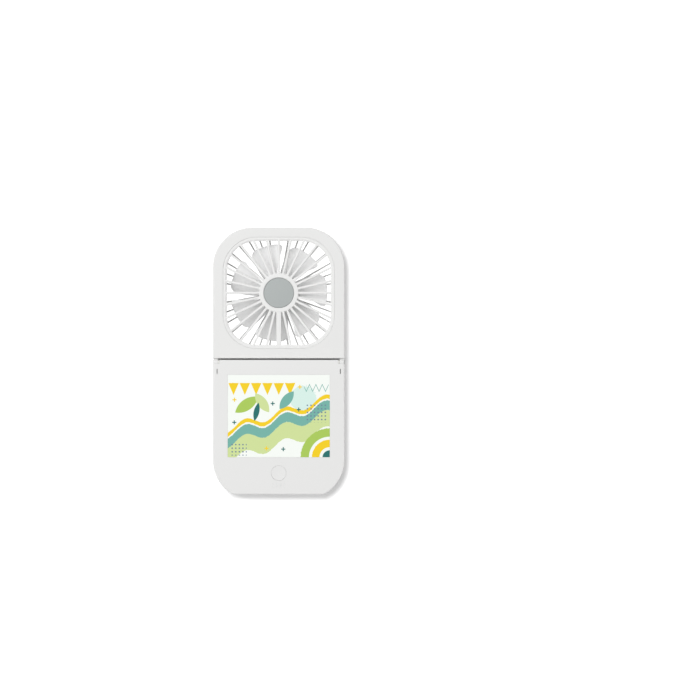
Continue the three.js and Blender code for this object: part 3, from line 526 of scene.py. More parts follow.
# %% Ribs and rims
RIM_PROFILE = np.array([  # growth of the window outline, depth under the rim's top
    (1.96, 2.05), (1.96, 0.1), (1.93, 0.03), (1.86, 0), (0.8, 0), (0.72, 0.03), (0.6, 0.17), (0.52, 0.2),
    (0.2, 0.2), (0.06, 0.26), (0, 0.4), (0, 2.05), (0.1, 2.15), (1.86, 2.15),
])
RIB_DROP = 0.12  # of the ribs under the rim's top
RIB_DEPTH = 1.75
RIB_ROUND = 0.3
RIB_BITE = 0.9  # how far a rib runs into hub and rim
HUB_RADIUS = 10.5
SIX_O_CLOCK = -np.pi / 2


def around(count):
    """Evenly spaced angles, the first one at six o'clock."""
    return SIX_O_CLOCK + np.arange(count) * 2 * np.pi / count


def window_reach(angle):
    """Distance from the middle of the window to its edge: along a ray to the straight side, or, where the
    ray passes the end of the side, to the corner's circle."""
    across = np.abs(np.cos(angle))
    up = np.abs(np.sin(angle))
    bend = WINDOW_HALF - WINDOW_CORNER
    straight = WINDOW_HALF / np.maximum(across, up)
    lean = bend * (across + up)
    curved = lean + np.sqrt(lean**2 - 2 * bend**2 + WINDOW_CORNER**2)
    return np.where(straight * np.minimum(across, up) <= bend, straight, curved)


def ribs(angles, width, top, way):
    """Bars along rays: a point at distance d and offset a lies at d times the ray plus a times its normal."""
    section = rounded_loop(width / 2, RIB_DEPTH / 2, RIB_ROUND, steps=3)
    reach = window_reach(angles)
    along = np.stack([np.full_like(reach, HUB_RADIUS - RIB_BITE), reach + RIB_BITE], axis=1)
    ray = np.stack([np.cos(angles), np.sin(angles)], axis=1)[:, None, None]
    normal = np.stack([-np.sin(angles), np.cos(angles)], axis=1)[:, None, None]
    flat = along[:, :, None, None] * ray + section[:, 0, None] * normal + [0, FAN_Y]
    level = top - way * (RIB_DROP + RIB_DEPTH / 2) + section[:, 1]
    height = np.broadcast_to(level[:, None], (*flat.shape[:3], 1))
    return surface("ribs", np.concatenate([flat, height], axis=-1))


def grille(name, top, way, angles, width, hub):
    """Rim, ribs and hub joined into one moulding. Way is 1 if the top faces the front."""
    rows = [(window_loop(growth), top - way * depth) for growth, depth in RIM_PROFILE]
    rim = surface(name, stack(rows), wrap_rows=True)
    combine(rim, ribs(angles, width, top, way), "UNION")
    return combine(rim, surface("hub", turned(hub, (0, FAN_Y)), caps=False), "UNION")


rib_lengths = window_reach(np.array([SIX_O_CLOCK, SIX_O_CLOCK / 2])) - HUB_RADIUS
print("shortest and longest rib:", rib_lengths.round(1).tolist(), "mm")

# %% [markdown]
# The hub in the middle of a grille is round, so a profile of radius and height is all that it needs. In front
# it is a socket: the motor sits in it from behind, and a cap from the front. At the back it is a plain disc
# with a shallow dish. Rim, ribs and hub overlap a little and are joined into one skin, as in a real moulding.
# The rib at the bottom of the front grille is about twice as wide as the others, because the motor's lead
# hides behind it. The back grille has more and thinner ribs.

# %% Hubs and grilles
FRONT_RIBS, REAR_RIBS = 28, 36
FRONT_RIB, LEAD_RIB, REAR_RIB = 1.25, 2.6, 0.85

cap_low, cap_high = span("hub_cap")
back_low, back_high = span("rear_grille")
GRILLE_TOP = grille_high[2]
CAP_SEAT = 8.1
CAP_FLOOR = cap_low[2] - REST_GAP
SOCKET_INNER = 7.5
SOCKET_OUTER = 8.3
SOCKET_LOW = grille_low[2]
MOTOR_TOP = span("motor_can")[1][2] + REST_GAP
RIM_LOW = GRILLE_TOP - RIM_PROFILE[-1][1]
EASE = 0.15
HUB_ROUND = EASE * np.array([(-4, 0), (-1.6, -0.4), (-0.4, -1.6), (0, -4)])  # steps of its outer edge
FRONT_HUB = [
    (0, CAP_FLOOR), (CAP_SEAT, CAP_FLOOR), (CAP_SEAT, GRILLE_TOP - EASE), (CAP_SEAT + EASE, GRILLE_TOP),
    *(HUB_ROUND + (HUB_RADIUS, GRILLE_TOP)), (HUB_RADIUS, RIM_LOW), (SOCKET_OUTER, RIM_LOW),
    (SOCKET_OUTER, SOCKET_LOW), (SOCKET_INNER, SOCKET_LOW), (SOCKET_INNER, MOTOR_TOP), (0, MOTOR_TOP),
]
BACK = back_low[2]
DISH = 2.4 * EASE
DISC_RING = 2
REAR_HUB = [
    (0, BACK + DISH), (HUB_RADIUS - DISC_RING - DISH, BACK + DISH), (HUB_RADIUS - DISC_RING, BACK),
    (HUB_RADIUS - 4 * EASE, BACK), (HUB_RADIUS - EASE, BACK + EASE), (HUB_RADIUS, BACK + 4 * EASE),
    (HUB_RADIUS, back_high[2]), (0, back_high[2]),
]

lead_angle, front_angles = np.split(around(FRONT_RIBS), [1])
front_grille = grille("window_grille", GRILLE_TOP, 1, front_angles, FRONT_RIB, FRONT_HUB)
combine(front_grille, ribs(lead_angle, LEAD_RIB, GRILLE_TOP, 1), "UNION")
rear_grille = grille("back_grille", BACK, -1, around(REAR_RIBS), REAR_RIB, REAR_HUB)
dress(front_grille, "head", "front_grille", "white_grille")
dress(rear_grille, "head", "rear_grille", "white_grille")

# %% [markdown]
# A grey cap closes the middle of the grille and hides the motor. It is a shallow dome, pressed into its
# seat, with a soft edge. Its profile falls with the square of the radius, like a slice of a ball. A flat
# disc with a bevel would do from afar, but the dome takes the light in a soft gradient.

# %% Hub cap
CAP_DOME = 0.3
CAP_EDGE = 0.35
CAP_STEPS, CAP_EDGE_STEPS = 10, 6
CAP_RADIUS = cap_high[0]

dome_radius = np.linspace(0, CAP_RADIUS - CAP_EDGE, CAP_STEPS)
dome_height = cap_high[2] - CAP_DOME * (dome_radius / CAP_RADIUS) ** 2
down, inward = CAP_EDGE * quarter(CAP_EDGE_STEPS)[:, 1:]
cap_profile = [
    *zip(dome_radius, dome_height), *zip(CAP_RADIUS - inward, dome_height[-1] - down),
    (CAP_RADIUS, cap_low[2]), (0, cap_low[2]),
]
hub_disc = surface("hub_disc", turned(cap_profile, (0, FAN_Y)), caps=False)
dress(hub_disc, "head", "hub_cap", "grey_cap")

# %% [markdown]
# The fan wheel is moulded in one shot: a cup over the motor and seven wide blades. A blade is a flat strip
# twisted like a propeller. Its section, a flattened oval, is carried outwards from the cup: across the
# blade the angle and the height change together, and along the blade the whole section turns a little
# against the direction of turning. The corners at the tip are rounded. A flat plate could also be bent by
# modifiers, but the formula gives edges and tip exactly.

# %% Blades
BLADES = 7
BLADE_SWEEP = np.radians(42.5)  # angle that a blade covers
BLADE_LEAN = np.radians(12)  # how far the tip lags behind the root
BLADE_START = np.radians(85)
BLADE_ROOT, BLADE_TIP = 9.8, 25.8
BLADE_THICK = 1.2
TIP_THICK = 0.8  # of the full thickness
TIP_CORNER = 3
TIP_EDGE = 0.45
HEIGHT_LOSS = 2.8  # from root to tip
OVAL = 0.3  # small for a section with nearly flat sides
TIP_THIN = 0.8  # share of the thickness squared that the tip's edge loses
ROOT_MARGIN = 1.3  # of the wheel's height, kept free at the root
OVAL_STEPS, BLADE_STEPS, TIP_STEPS = 40, 8, 9

wheel_low, wheel_high = span("impeller")
wheel_middle = (wheel_low[2] + wheel_high[2]) / 2
root_height = wheel_high[2] - wheel_low[2] - ROOT_MARGIN


def blades():
    """All blades at once, as [blade, station, place on the oval, coordinate].

    Across runs from -1/2 at the trailing edge to 1/2 at the leading edge. Angle = start - blade number x
    pitch - lean x (along - 1/2) + sweep x across; height = middle - across x height of the blade + half the
    thickness. The oval is a circle whose cosine and sine are raised to a small power, signs kept."""
    turn = np.linspace(0, 2 * np.pi, OVAL_STEPS, endpoint=False)
    flat = 0.5 * np.sign(np.cos(turn)) * np.abs(np.cos(turn)) ** OVAL
    thick = 0.5 * np.sign(np.sin(turn)) * np.abs(np.sin(turn)) ** OVAL
    radius = np.concatenate([
        np.linspace(BLADE_ROOT, BLADE_TIP - TIP_CORNER, BLADE_STEPS, endpoint=False),
        BLADE_TIP - TIP_CORNER * quarter(TIP_STEPS)[1],
    ])[:, None]
    along = (radius - BLADE_ROOT) / (BLADE_TIP - BLADE_ROOT)
    into_corner = np.clip(radius - (BLADE_TIP - TIP_CORNER), 0, None)
    lost = TIP_CORNER - np.sqrt(TIP_CORNER**2 - into_corner**2)
    narrow = 1 - 2 * lost / (radius * BLADE_SWEEP)
    into_edge = np.clip(radius - (BLADE_TIP - TIP_EDGE), 0, TIP_EDGE) / TIP_EDGE
    thickness = BLADE_THICK * (1 - (1 - TIP_THICK) * along) * np.sqrt(1 - TIP_THIN * into_edge**2)
    across = flat * narrow
    start = BLADE_START - (np.arange(BLADES)[:, None, None] + 0.5) * 2 * np.pi / BLADES
    angle = start - BLADE_LEAN * (along - 0.5) + BLADE_SWEEP * across
    height = wheel_middle - across * (root_height - HEIGHT_LOSS * along) + thickness * thick
    height = np.broadcast_to(height, angle.shape)
    return np.stack([radius * np.cos(angle), FAN_Y + radius * np.sin(angle), height], axis=-1)


blade_points = blades()
print("blades, stations along a blade and points round it:", blade_points.shape[:3])

# %% [markdown]
# The cup is turned about the shaft: a wall round the motor, a floor behind it, and a boss in the middle that
# grips the shaft. Its section is a closed ring, so the last row joins the first. The blades start inside
# the wall, so that a join leaves no gap at their roots.

# %% Fan wheel
CUP = 10.4
CUP_INNER = 9.2
CUP_FLOOR = 5.5
BOSS, BOSS_TOP, BORE = 2.6, 8.8, 1.06
CUP_EASE = 0.3

cup_profile = [
    (BORE, wheel_low[2]), (CUP - CUP_EASE, wheel_low[2]), (CUP, wheel_low[2] + CUP_EASE),
    (CUP, wheel_high[2] - CUP_EASE), (CUP - CUP_EASE, wheel_high[2]), (CUP_INNER + CUP_EASE, wheel_high[2]),
    (CUP_INNER, wheel_high[2] - CUP_EASE), (CUP_INNER, CUP_FLOOR), (BOSS, CUP_FLOOR), (BOSS, BOSS_TOP),
    (BORE, BOSS_TOP),
]
fan_wheel = surface("fan_wheel", turned(cup_profile, (0, FAN_Y)), wrap_rows=True)
combine(fan_wheel, surface("blades", blade_points), "UNION")
dress(fan_wheel, "rotor", "impeller", "white_blade")

# %% [markdown]
# The base is a tray with a lid. Both are moulded shells of even thickness: the section runs up the inner
# wall, over the rim at the parting line, up the outer skin and over the edge, and two flat faces close it.
# Solidify could give the wall its thickness, but a carried section also gives the rim its tiny bevel.
# At the fold the edge is tighter than at the sides, so that only a thin dark line parts base and head.

# %% Base shells
BASE_FOLD_ROUND = 0.2


def base_half(name, parting, face):
    """Section of one half of the base, carried round the outline."""
    way = np.sign(face - parting)
    inner = BASE.loop(WALL, WALL)
    rows = [(inner, face - way * WALL), (inner, parting), *BASE.skin(parting, face, BASE_FOLD_ROUND)]
    return surface(name, stack(rows))


lid = base_half("base_front_casing", LID_PARTING, BASE_FRONT)
tray = base_half("base_rear_casing", TRAY_PARTING, 0.0)
print("lid and tray faces:", len(lid.data.polygons), len(tray.data.polygons))

# %% [markdown]
# The lid carries everything that shows on the front: a shallow recess for the printed film, the hole of the
# button, four slits for the charge lights, two eyelets for a cord, and the notches in which the hinge ears
# turn. They could be modelled face by face, but a tool that is cut out of the lid, an outline carried
# through it, leaves every size free to change. The notch has an arc about the hinge axis as its outline.

# %% Tools for the lid
SWING_GAP = 0.08
NOTCH_INNER = 31.5
NOTCH_OUTER = HALF_WIDTH + PAST


def block(low, high, ease=0.2):
    """Box with rounded upright edges between two corners."""
    low, high = np.array(low), np.array(high)
    loop = rounded_loop(*(high[:2] - low[:2]) / 2, ease, (low[:2] + high[:2]) / 2, steps=3)
    return prism("block", loop, low[2], high[2])


def mirrored(side, low, high):
    """Block on one side of the fan: side is -1 for the left, and mirrors the x range."""
    x = sorted((side * low[0], side * high[0]))
    return block((x[0], *low[1:]), (x[1], *high[1:]))


def notch(side):
    """Room for an ear in y and z: an arc about the hinge axis from above it round the knuckle's back, then
    the leg's room below. The leg is slim: when the head folds over, it comes up in front of the arc."""
    radius = KNUCKLE + SWING_GAP
    angle = np.linspace(np.pi / 2, np.pi + np.arccos((LEG_BACK + SWING_GAP) / radius), KNUCKLE_STEPS)
    back = np.column_stack([HINGE_Y + radius * np.cos(angle), HINGE_Z + radius * np.sin(angle)])
    back_leg = HINGE_Y - LEG_BACK - SWING_GAP
    low = FOOT_LOW - 2 * SWING_GAP
    out = BASE_FOLD + PAST
    top = BASE_FRONT + PAST
    loop = np.concatenate([back, [(back_leg, low), (out, low), (out, top), (HINGE_Y, top)]])
    return prism("notch", loop, side * NOTCH_INNER, side * NOTCH_OUTER, ALONG_X)


def slot_hole(middle, half, corner, bottom, lip):
    """Tool for a hole in the lid with a rounded rectangle as its outline."""
    half = np.array(half)

    def loop(growth):
        return rounded_loop(*(half + growth), corner + growth, middle, steps=5)

    return hole(loop, bottom, BASE_FRONT, lip)


print("an ear turns in its notch with", SWING_GAP, "mm to spare")

# %% [markdown]
# Thickened blocks inside the lid hold the pins and the eyelets. Blocks are joined first and holes cut
# afterwards, in the order a mould maker would think of them. The places of the film and the button come from
# their CAD nodes, so that a piece and its opening stay in line.

# %% Openings of the lid
FILM_FIT = 0.05
FILM_CORNER = 0.4
FINE_LIP = 0.1
SLIT_LIP = 0.03
BUTTON_GAP = 0.04
BUTTON_RADIUS = 4
SLIT_HALF = (0.215, 0.965)
SLIT_CORNER = 0.03
SLIT_ROW = -66.1
SLIT_PLACES = np.array([-2.94, -0.98, 0.98, 2.94])
EYELET_MIDDLE = np.array([32.7, -5.6])
EYELET_HALF = np.array([0.25, 1.35])
EYELET_CORNER = 0.22
EYELET_FLOOR = 17.5
EYELET_ROOF = 19.5
BLOCK_SIDE = HALF_WIDTH - WALL / 2
BLOCK_ROOF = BASE_FRONT - WALL / 2
# Lowest and highest corner of blocks and of block-shaped holes, on the right side of the fan.
HINGE_BLOCK = (25.5, -3.8, 13.5), (BLOCK_SIDE, BASE_FOLD - WALL / 2, BLOCK_ROOF)
EYELET_BLOCK = (30.95, -8.3, 16.3), (BLOCK_SIDE, -3, BLOCK_ROOF)
EYELET_MOUTH = (
    (EYELET_MIDDLE[0], EYELET_MIDDLE[1] - EYELET_HALF[1], EYELET_FLOOR),
    (HALF_WIDTH + PAST, EYELET_MIDDLE[1] + EYELET_HALF[1], EYELET_ROOF),
)
LEAD_POCKET = (20.5, -3.7, 14.7), (25.5, -0.15, 21.35)
PIN_BORE = 0.775

film_low, film_high = span("print_film")
button_low, button_high = span("power_button")
FILM_MIDDLE = (film_low[:2] + film_high[:2]) / 2
FILM_HALF = (film_high[:2] - film_low[:2]) / 2
BUTTON_MIDDLE = (button_low[:2] + button_high[:2]) / 2
PIN_INNER = span("hinge_pin_right")[0][0]
THROUGH = BASE_FRONT - 2 * WALL

for side in (-1, 1):
    for corners in (HINGE_BLOCK, EYELET_BLOCK):
        combine(lid, mirrored(side, *corners), "UNION")
combine(lid, slot_hole(FILM_MIDDLE, FILM_HALF + FILM_FIT, FILM_CORNER, film_low[2] - FILM_FIT / 2, FINE_LIP))
combine(lid, hole(lambda g: circle_loop(BUTTON_RADIUS + g, BUTTON_MIDDLE), THROUGH, BASE_FRONT, FINE_LIP))
for place in SLIT_PLACES:
    combine(lid, slot_hole((place, SLIT_ROW), SLIT_HALF, SLIT_CORNER, THROUGH, SLIT_LIP))
for side in (-1, 1):
    middle = (side * EYELET_MIDDLE[0], EYELET_MIDDLE[1])
    combine(lid, slot_hole(middle, EYELET_HALF, EYELET_CORNER, EYELET_FLOOR, FINE_LIP))
    combine(lid, mirrored(side, *EYELET_MOUTH))
    combine(lid, notch(side))
    combine(lid, across_rod(PIN_BORE, side * (PIN_INNER - PAST), side * (NOTCH_INNER + PAST)))
combine(lid, block(*LEAD_POCKET))
dress(lid, "base", "base_front_cover", "white_shell")

# %% [markdown]
# The tray holds the screws and the charging socket. The socket's mouth is a slot with round ends in the far
# end wall. Mouth and socket share one outline, so the gap between them is even all round.

# %% Openings of the tray
MOUTH_GROWTH = 0.2
MOUTH_LIP = 0.3
MOUTH_DEPTH = 3
ROUND_END = 0.999  # just under half the height, so that the ends' arcs don't meet

socket_low, socket_high = span("usb_socket")
SOCKET_HALF = (socket_high - socket_low)[[0, 2]] / 2
SOCKET_MIDDLE = (socket_high + socket_low)[[0, 2]] / 2


def socket_loop(growth):
    """Outline of the socket across the width and the height: a slot with round ends."""
    half = SOCKET_HALF + growth
    return rounded_loop(*half, half[1] * ROUND_END, SOCKET_MIDDLE, steps=12)


sink_screws(tray, BASE_SCREWS, BASE_SHANK, LID_PARTING + PAST)
mouth_floor = BASE_END + MOUTH_DEPTH
combine(tray, hole(lambda g: socket_loop(MOUTH_GROWTH + g), mouth_floor, BASE_END, MOUTH_LIP, ALONG_Y))
dress(tray, "base", "base_rear_cover", "white_shell")

# %% [markdown]
# Small parts come last. The button is turned: a slightly hollow top for the finger, a soft edge, a flange
# that keeps it in the lid and a stem that reaches the switch. The hollow rises with the square of the radius.

# %% Button
BUTTON_DISH = 0.12
BUTTON_EDGE = 0.15
FLANGE = 5.05
FLANGE_LOW, FLANGE_TOP = 19.15, 20.15
STEM = 1.3
DISH_STEPS, BUTTON_EDGE_STEPS = 9, 5

edge = BUTTON_RADIUS - BUTTON_GAP
dish_radius = np.linspace(0, edge - BUTTON_EDGE, DISH_STEPS)
dish_height = button_high[2] - BUTTON_DISH * (1 - (dish_radius / dish_radius[-1]) ** 2)
down, inward = BUTTON_EDGE * quarter(BUTTON_EDGE_STEPS)[:, 1:]
button_profile = [
    *zip(dish_radius, dish_height), *zip(edge - inward, button_high[2] - down),
    (edge, FLANGE_TOP), (FLANGE, FLANGE_TOP), (FLANGE, FLANGE_LOW), (STEM, FLANGE_LOW), (STEM, button_low[2]),
    (0, button_low[2]),
]
button = surface("round_button", turned(button_profile, BUTTON_MIDDLE), caps=False)
dress(button, "button", "power_button", "white_shell")

# %% [markdown]
# The charging socket is a tube of drawn steel with a closed back and a black tongue in its middle. The
# outline of the tray's mouth, without its gap, is carried out along the tube's outside, over its lip and
# back along its inside. The tongue is a piece of its own, because it is plastic.

# %% Charging socket
TUBE = 0.3
TUBE_FLOOR = 1.5
TONGUE_HALF = (3.35, 0.35)
TONGUE_SET_BACK = 1

tube_rows = [
    (socket_loop(0), socket_high[1]), (socket_loop(0), socket_low[1] + TUBE / 3),
    (socket_loop(-TUBE / 3), socket_low[1]), (socket_loop(-TUBE * 2 / 3), socket_low[1]),
    (socket_loop(-TUBE), socket_low[1] + TUBE / 3), (socket_loop(-TUBE), socket_high[1] - TUBE_FLOOR),
]
tube = surface("charging_socket", stack(tube_rows, ALONG_Y))
dress(tube, "base", "usb_socket", "steel")
tongue_loop = rounded_loop(*TONGUE_HALF, TONGUE_HALF[1] / 2, SOCKET_MIDDLE, steps=3)
tongue_ends = socket_low[1] + TONGUE_SET_BACK, socket_high[1] - TUBE_FLOOR
tongue = prism("socket_tongue", tongue_loop, *tongue_ends, ALONG_Y)
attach(tongue, "base")
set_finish(tongue, "black_plastic")
print("socket_tongue:", len(tongue.data.polygons), "faces, rides on base")

# %% [markdown]
# The screws have pan heads with a cross recess. One screw of each size is turned at the origin, and two thin
# blocks cut its cross. Copies of its mesh are then moved to the places of the screws. The mesh moves and
# not the object, so that every piece keeps its object at the origin, as the CAD solids do.

# %% Screws
CROSS_HALF = (0.6, 0.14)  # of the head's radius
CROSS_DEPTH = 0.55
HEAD_EASE = 0.3
SCREW_STEPS = 48


def screw(nodes, body, shank):
    """One screw at the origin, copied to the places of its nodes."""
    low, high = span(nodes[0])
    radius = screw_place(nodes[0])[1]
    top = low[2] + SCREW_HEAD
    profile = [
        (0, low[2]), (radius - HEAD_EASE, low[2]), (radius - HEAD_EASE / 3, low[2] + HEAD_EASE / 3),
        (radius, low[2] + HEAD_EASE), (radius, top), (shank, top), (shank, high[2]), (0, high[2]),
    ]
    model = surface("screw", turned(profile, steps=SCREW_STEPS), caps=False)
    long, wide = np.array(CROSS_HALF) * radius
    for half in ((long, wide), (wide, long)):
        corner = (*half, low[2] + CROSS_DEPTH)
        combine(model, block(np.negative(corner), corner, ease=wide / 4))
    for number, node in enumerate(nodes, 1):
        mesh = model.data.copy()
        mesh.transform(Matrix.Translation(np.array([*screw_place(node)[0], 0]) * MM))
        dress(put(f"{body}_back_screw_{number}", mesh), body, node, "steel", weighted=False)
    bpy.data.objects.remove(model)


screw(HEAD_SCREWS, "head", HEAD_SHANK)
screw(BASE_SCREWS, "base", BASE_SHANK)

# %% [markdown]
# Finishes are written as formulas. Nodes could be placed and linked by hand, but a formula of ten steps would
# then take ten boxes and twenty links, and nobody could read it. So one small class stands for the output of
# a shader node, and an expression such as 1 - mask adds the Math node it needs.

# %% Shader expressions
class Socket:
    """Output of a node. Arithmetic on it adds Math nodes to its material."""

    def __init__(self, finish, output):
        self.finish = finish
        self.output = output

    def math(self, operation, *terms, clamp=False):
        """Math node that works on these terms."""
        settings = {"operation": operation, "use_clamp": clamp}
        return self.finish.add("ShaderNodeMath", settings, dict(enumerate(terms)))

    def __add__(self, other):
        return self.math("ADD", self, other)

    def __radd__(self, other):
        return self.math("ADD", other, self)

    def __sub__(self, other):
        return self.math("SUBTRACT", self, other)

    def __rsub__(self, other):
        return self.math("SUBTRACT", other, self)

    def __mul__(self, other):
        return self.math("MULTIPLY", self, other)

    def __rmul__(self, other):
        return self.math("MULTIPLY", other, self)

    def __pow__(self, other):
        return self.math("POWER", self, other)

    def __abs__(self):
        return self.math("ABSOLUTE", self)

    def sin(self):
        return self.math("SINE", self)

    def repeat(self, period):
        """Distance from the nearest multiple of the period, with its sign."""
        return self.math("WRAP", self, period / 2, -period / 2)

    def low(self, other):
        return self.math("MINIMUM", self, other)

    def high(self, other):
        return self.math("MAXIMUM", self, other)

    def cover(self, soft=0.12):
        """1 where the value is positive, 0 where it is negative, with a soft step between."""
        return self.math("MULTIPLY_ADD", self, 1 / soft, 0.5, clamp=True)


print("shader expressions ready")

# %% [markdown]
# A second class stands for a whole material. Values that are the same everywhere go straight onto its shader,
# and one method adds nodes of every kind. Patterns are measured in millimetres on the piece itself, so that
# they stay where they are when the piece moves.

# %% Finishes and their nodes
def find(sockets, key):
    """Socket with that number, identifier or name."""
    if isinstance(key, int):
        return sockets[key]
    return next(socket for socket in sockets if key in (socket.identifier, socket.name))


class Finish:
    """Material with one Principled shader, whose even values are set when it is made, or the world."""

    def __init__(self, name, values, owner=None):
        self.material = owner or bpy.data.materials.new(name)
        self.material.use_nodes = True
        self.tree = self.material.node_tree
        self.shader = self.tree.nodes["Background" if owner else "Principled BSDF"]
        self.feed(self.shader, values)

    def feed(self, node, sockets):
        """Sets or links the inputs of a node."""
        for key, value in sockets.items():
            target = find(node.inputs, key)
            if isinstance(value, Socket):
                self.tree.links.new(value.output, target)
            else:
                target.default_value = value

    def add(self, kind, settings, sockets, output=0):
        """Adds a node, makes its settings, then sets or links its inputs, and gives one of its outputs."""
        node = self.tree.nodes.new(kind)
        for key, value in settings.items():
            setattr(node, key, value)
        self.feed(node, sockets)
        return Socket(self, find(node.outputs, output))

    def place(self, stretch=(1, 1, 1)):
        """Place on the piece in millimetres, stretched along the axes."""
        own = self.add("ShaderNodeTexCoord", {}, {}, "Object")
        sockets = {0: own, 1: np.array(stretch) / MM}
        return self.add("ShaderNodeVectorMath", {"operation": "MULTIPLY"}, sockets)

    def along(self):
        """The three coordinates of the place, in millimetres, as numbers."""
        place = self.place()
        return [self.add("ShaderNodeSeparateXYZ", {}, {0: place}, axis) for axis in range(3)]

    def noise(self, size, detail=2, stretch=(1, 1, 1)):
        """Smooth random pattern from 0 to 1 with spots of a size in millimetres."""
        sockets = {"Vector": self.place(stretch), "Scale": 1 / size, "Detail": detail}
        return self.add("ShaderNodeTexNoise", {}, sockets)

    def mix(self, mask, first, second):
        """Colour that goes from the first to the second as the mask goes from 0 to 1."""
        sockets = {"Factor_Float": mask, "A_Color": first, "B_Color": second}
        return self.add("ShaderNodeMix", {"data_type": "RGBA"}, sockets, "Result_Color")

    def bump(self, height, depth):
        """Normal of a relief whose height from 0 to 1 stands for a depth in millimetres."""
        return self.add("ShaderNodeBump", {}, {"Height": height, "Distance": depth * MM})

    def paint(self, **sockets):
        """Feeds what varies to the shader: an underscore stands for a space in a socket's name."""
        self.feed(self.shader, {key.replace("_", " "): value for key, value in sockets.items()})
        return self.material

    def two_tone(self, mask, tones, roughness, relief, depth):
        """Lets a mask from 0 to 1 lead from one tone and roughness to another, over a relief."""
        rough = roughness[0] + (roughness[1] - roughness[0]) * mask
        return self.paint(Base_Color=self.mix(mask, *tones), Roughness=rough, Normal=self.bump(relief, depth))


def rgb(red, green, blue, light=1.0):
    """Linear colour from the eight-bit values that a picture shows, made lighter or darker by a factor."""
    part = np.array([red, green, blue]) / 255
    linear = np.where(part <= 0.04045, part / 12.92, ((part + 0.055) / 1.055) ** 2.4)
    return (*np.clip(linear * light, 0, 1).tolist(), 1.0)


print("middle grey in the picture is", round(rgb(128, 128, 128)[0], 3), "as a colour value")

# %% [markdown]
# Nearly everything that shows is white moulded plastic. It isn't perfectly even: the tone drifts a little
# over some centimetres, the gloss with it, and the tool that made the mould left a fine satin grain. The
# grain is a bump map, because real pits would be far smaller than the mesh.

# %% Plastics
CLOUD = 25  # millimetres over which the tone drifts
GLOSS_DRIFT = 0.04
WIRE = {"grain": 0.15}
PLASTICS = {  # colour, roughness and what else differs
    "white_shell": ((226, 226, 225), 0.6, {}),
    "white_grille": ((229, 229, 228), 0.58, {}),
    # the blades' white is lighter than the shell's to make up for the shade inside the duct: painted light
    "white_blade": ((251, 251, 251), 0.5, {"depth": 0.002}),
    "grey_cap": ((168, 173, 172), 0.58, {"grain": 0.25}),
    "white_nylon": ((226, 226, 220), 0.5, {}),
    "black_plastic": ((38, 38, 40), 0.45, {"drift": 0.08}),
    "clear_guide": ((232, 233, 232), 0.5, {"depth": 0.006, "Transmission Weight": 0.1}),
    "led_lens": ((236, 230, 190), 0.2, {"depth": 0.001, "Coat Weight": 0.5}),
    "white_wire": ((224, 224, 222), 0.5, WIRE),
    "red_wire": ((178, 42, 34), 0.5, WIRE),
    "black_wire": ((34, 34, 34), 0.5, WIRE),
}


def plastic(name, colour, roughness, grain=0.3, depth=0.004, drift=0.008, **even):
    """Moulded plastic: a slow drift of tone and gloss and a fine grain, in millimetres."""
    finish = Finish(name, {"IOR": 1.47, **even})
    cloud = finish.noise(CLOUD)
    tones = rgb(*colour, 1 - drift), rgb(*colour, 1 + drift)
    gloss = roughness - GLOSS_DRIFT, roughness + GLOSS_DRIFT
    return finish.two_tone(cloud, tones, gloss, finish.noise(grain, 3), depth)


materials = {name: plastic(name, colour, rough, **rest) for name, (colour, rough, rest) in PLASTICS.items()}
print("plastics:", ", ".join(materials))

# %% [markdown]
# Inside and at the back there are a few other materials. Steel is drawn or turned, so its scratches run one
# way: the noise is stretched along one axis. Windings are stripes round the rotor with painted shade in the
# gaps between the wires, the board has lighter tracks under its green mask, the cell's foil is creased with
# painted shade along the creases, and the foam is full of pores that are darkened with painted shade.

# %% Metals and inner materials
SCRATCH, SCRATCH_STRETCH = 0.1, (1, 1, 0.08)
WINDING = 0.3  # from wire to wire
TRACK_HALF, TRACK_PITCH = (0.35, 0.3), (1.6, 2.4)
TRACK_PATCH = 6
CREASE = 7
PORES_ACROSS = 1.6  # in a millimetre
STEEL_GREY = (196, 198, 201)


def scratches(finish):
    """Noise that is stretched along one axis."""
    return finish.noise(SCRATCH, 3, SCRATCH_STRETCH)


def tracks(finish):
    """Lines of a coarse grid, which noise switches on in patches."""
    across, along = [
        half - abs(axis.repeat(pitch)) for half, axis, pitch in zip(TRACK_HALF, finish.along(), TRACK_PITCH)
    ]
    return across.high(along).cover() * (finish.noise(TRACK_PATCH) - 0.5).cover()


def creases(finish):
    """Noise that is folded at its middle."""
    return abs(finish.noise(CREASE, 4) - 0.5) * 2


def pores(finish):
    """Distance from the nearest of many scattered points."""
    spots = {"Vector": finish.place(), "Scale": PORES_ACROSS}
    return finish.add("ShaderNodeTexVoronoi", {"feature": "F1"}, spots, "Distance")


INNER = {  # pattern, even values, tones and roughness where the pattern is 0 and 1, depth of its relief
    "steel": (
        scratches, {"Metallic": 1}, (rgb(*STEEL_GREY, 0.9), rgb(*STEEL_GREY, 1.08)), (0.22, 0.42), 0.002,
    ),
    "green_board": (
        tracks, {"IOR": 1.5, "Coat Weight": 0.3}, (rgb(14, 84, 52), rgb(38, 122, 76)), (0.4, 0.3), 0.03,
    ),
    # the darker tone along the creases is painted shade
    "cell_foil": (
        creases, {"Metallic": 1}, (rgb(176, 180, 186), rgb(204, 207, 212)), (0.45, 0.3), 0.15,
    ),
    # the darker tone in the pores is painted shade
    "grey_foam": (
        pores, {"IOR": 1.4}, (rgb(60, 60, 63), rgb(108, 108, 112)), (0.95, 0.85), 0.2,
    ),
}
# dark copper for painted shade in the gaps between wires, and bare copper on the wires
COPPER_SHADED_AND_BARE = rgb(92, 46, 24), rgb(214, 138, 92)


def windings():
    """Copper wire wound round the rotor: stripes by height, with painted shade that darkens the gaps, and
    smoother on the wire.
    """
    finish = Finish("copper", {"Metallic": 1})
    wire = 1 - abs(finish.along()[2].repeat(WINDING)) * (2 / WINDING)
    tone = finish.mix(wire ** 0.5, *COPPER_SHADED_AND_BARE)
    return finish.paint(Base_Color=tone, Roughness=0.5 - 0.15 * wire, Normal=finish.bump(wire, 0.05))


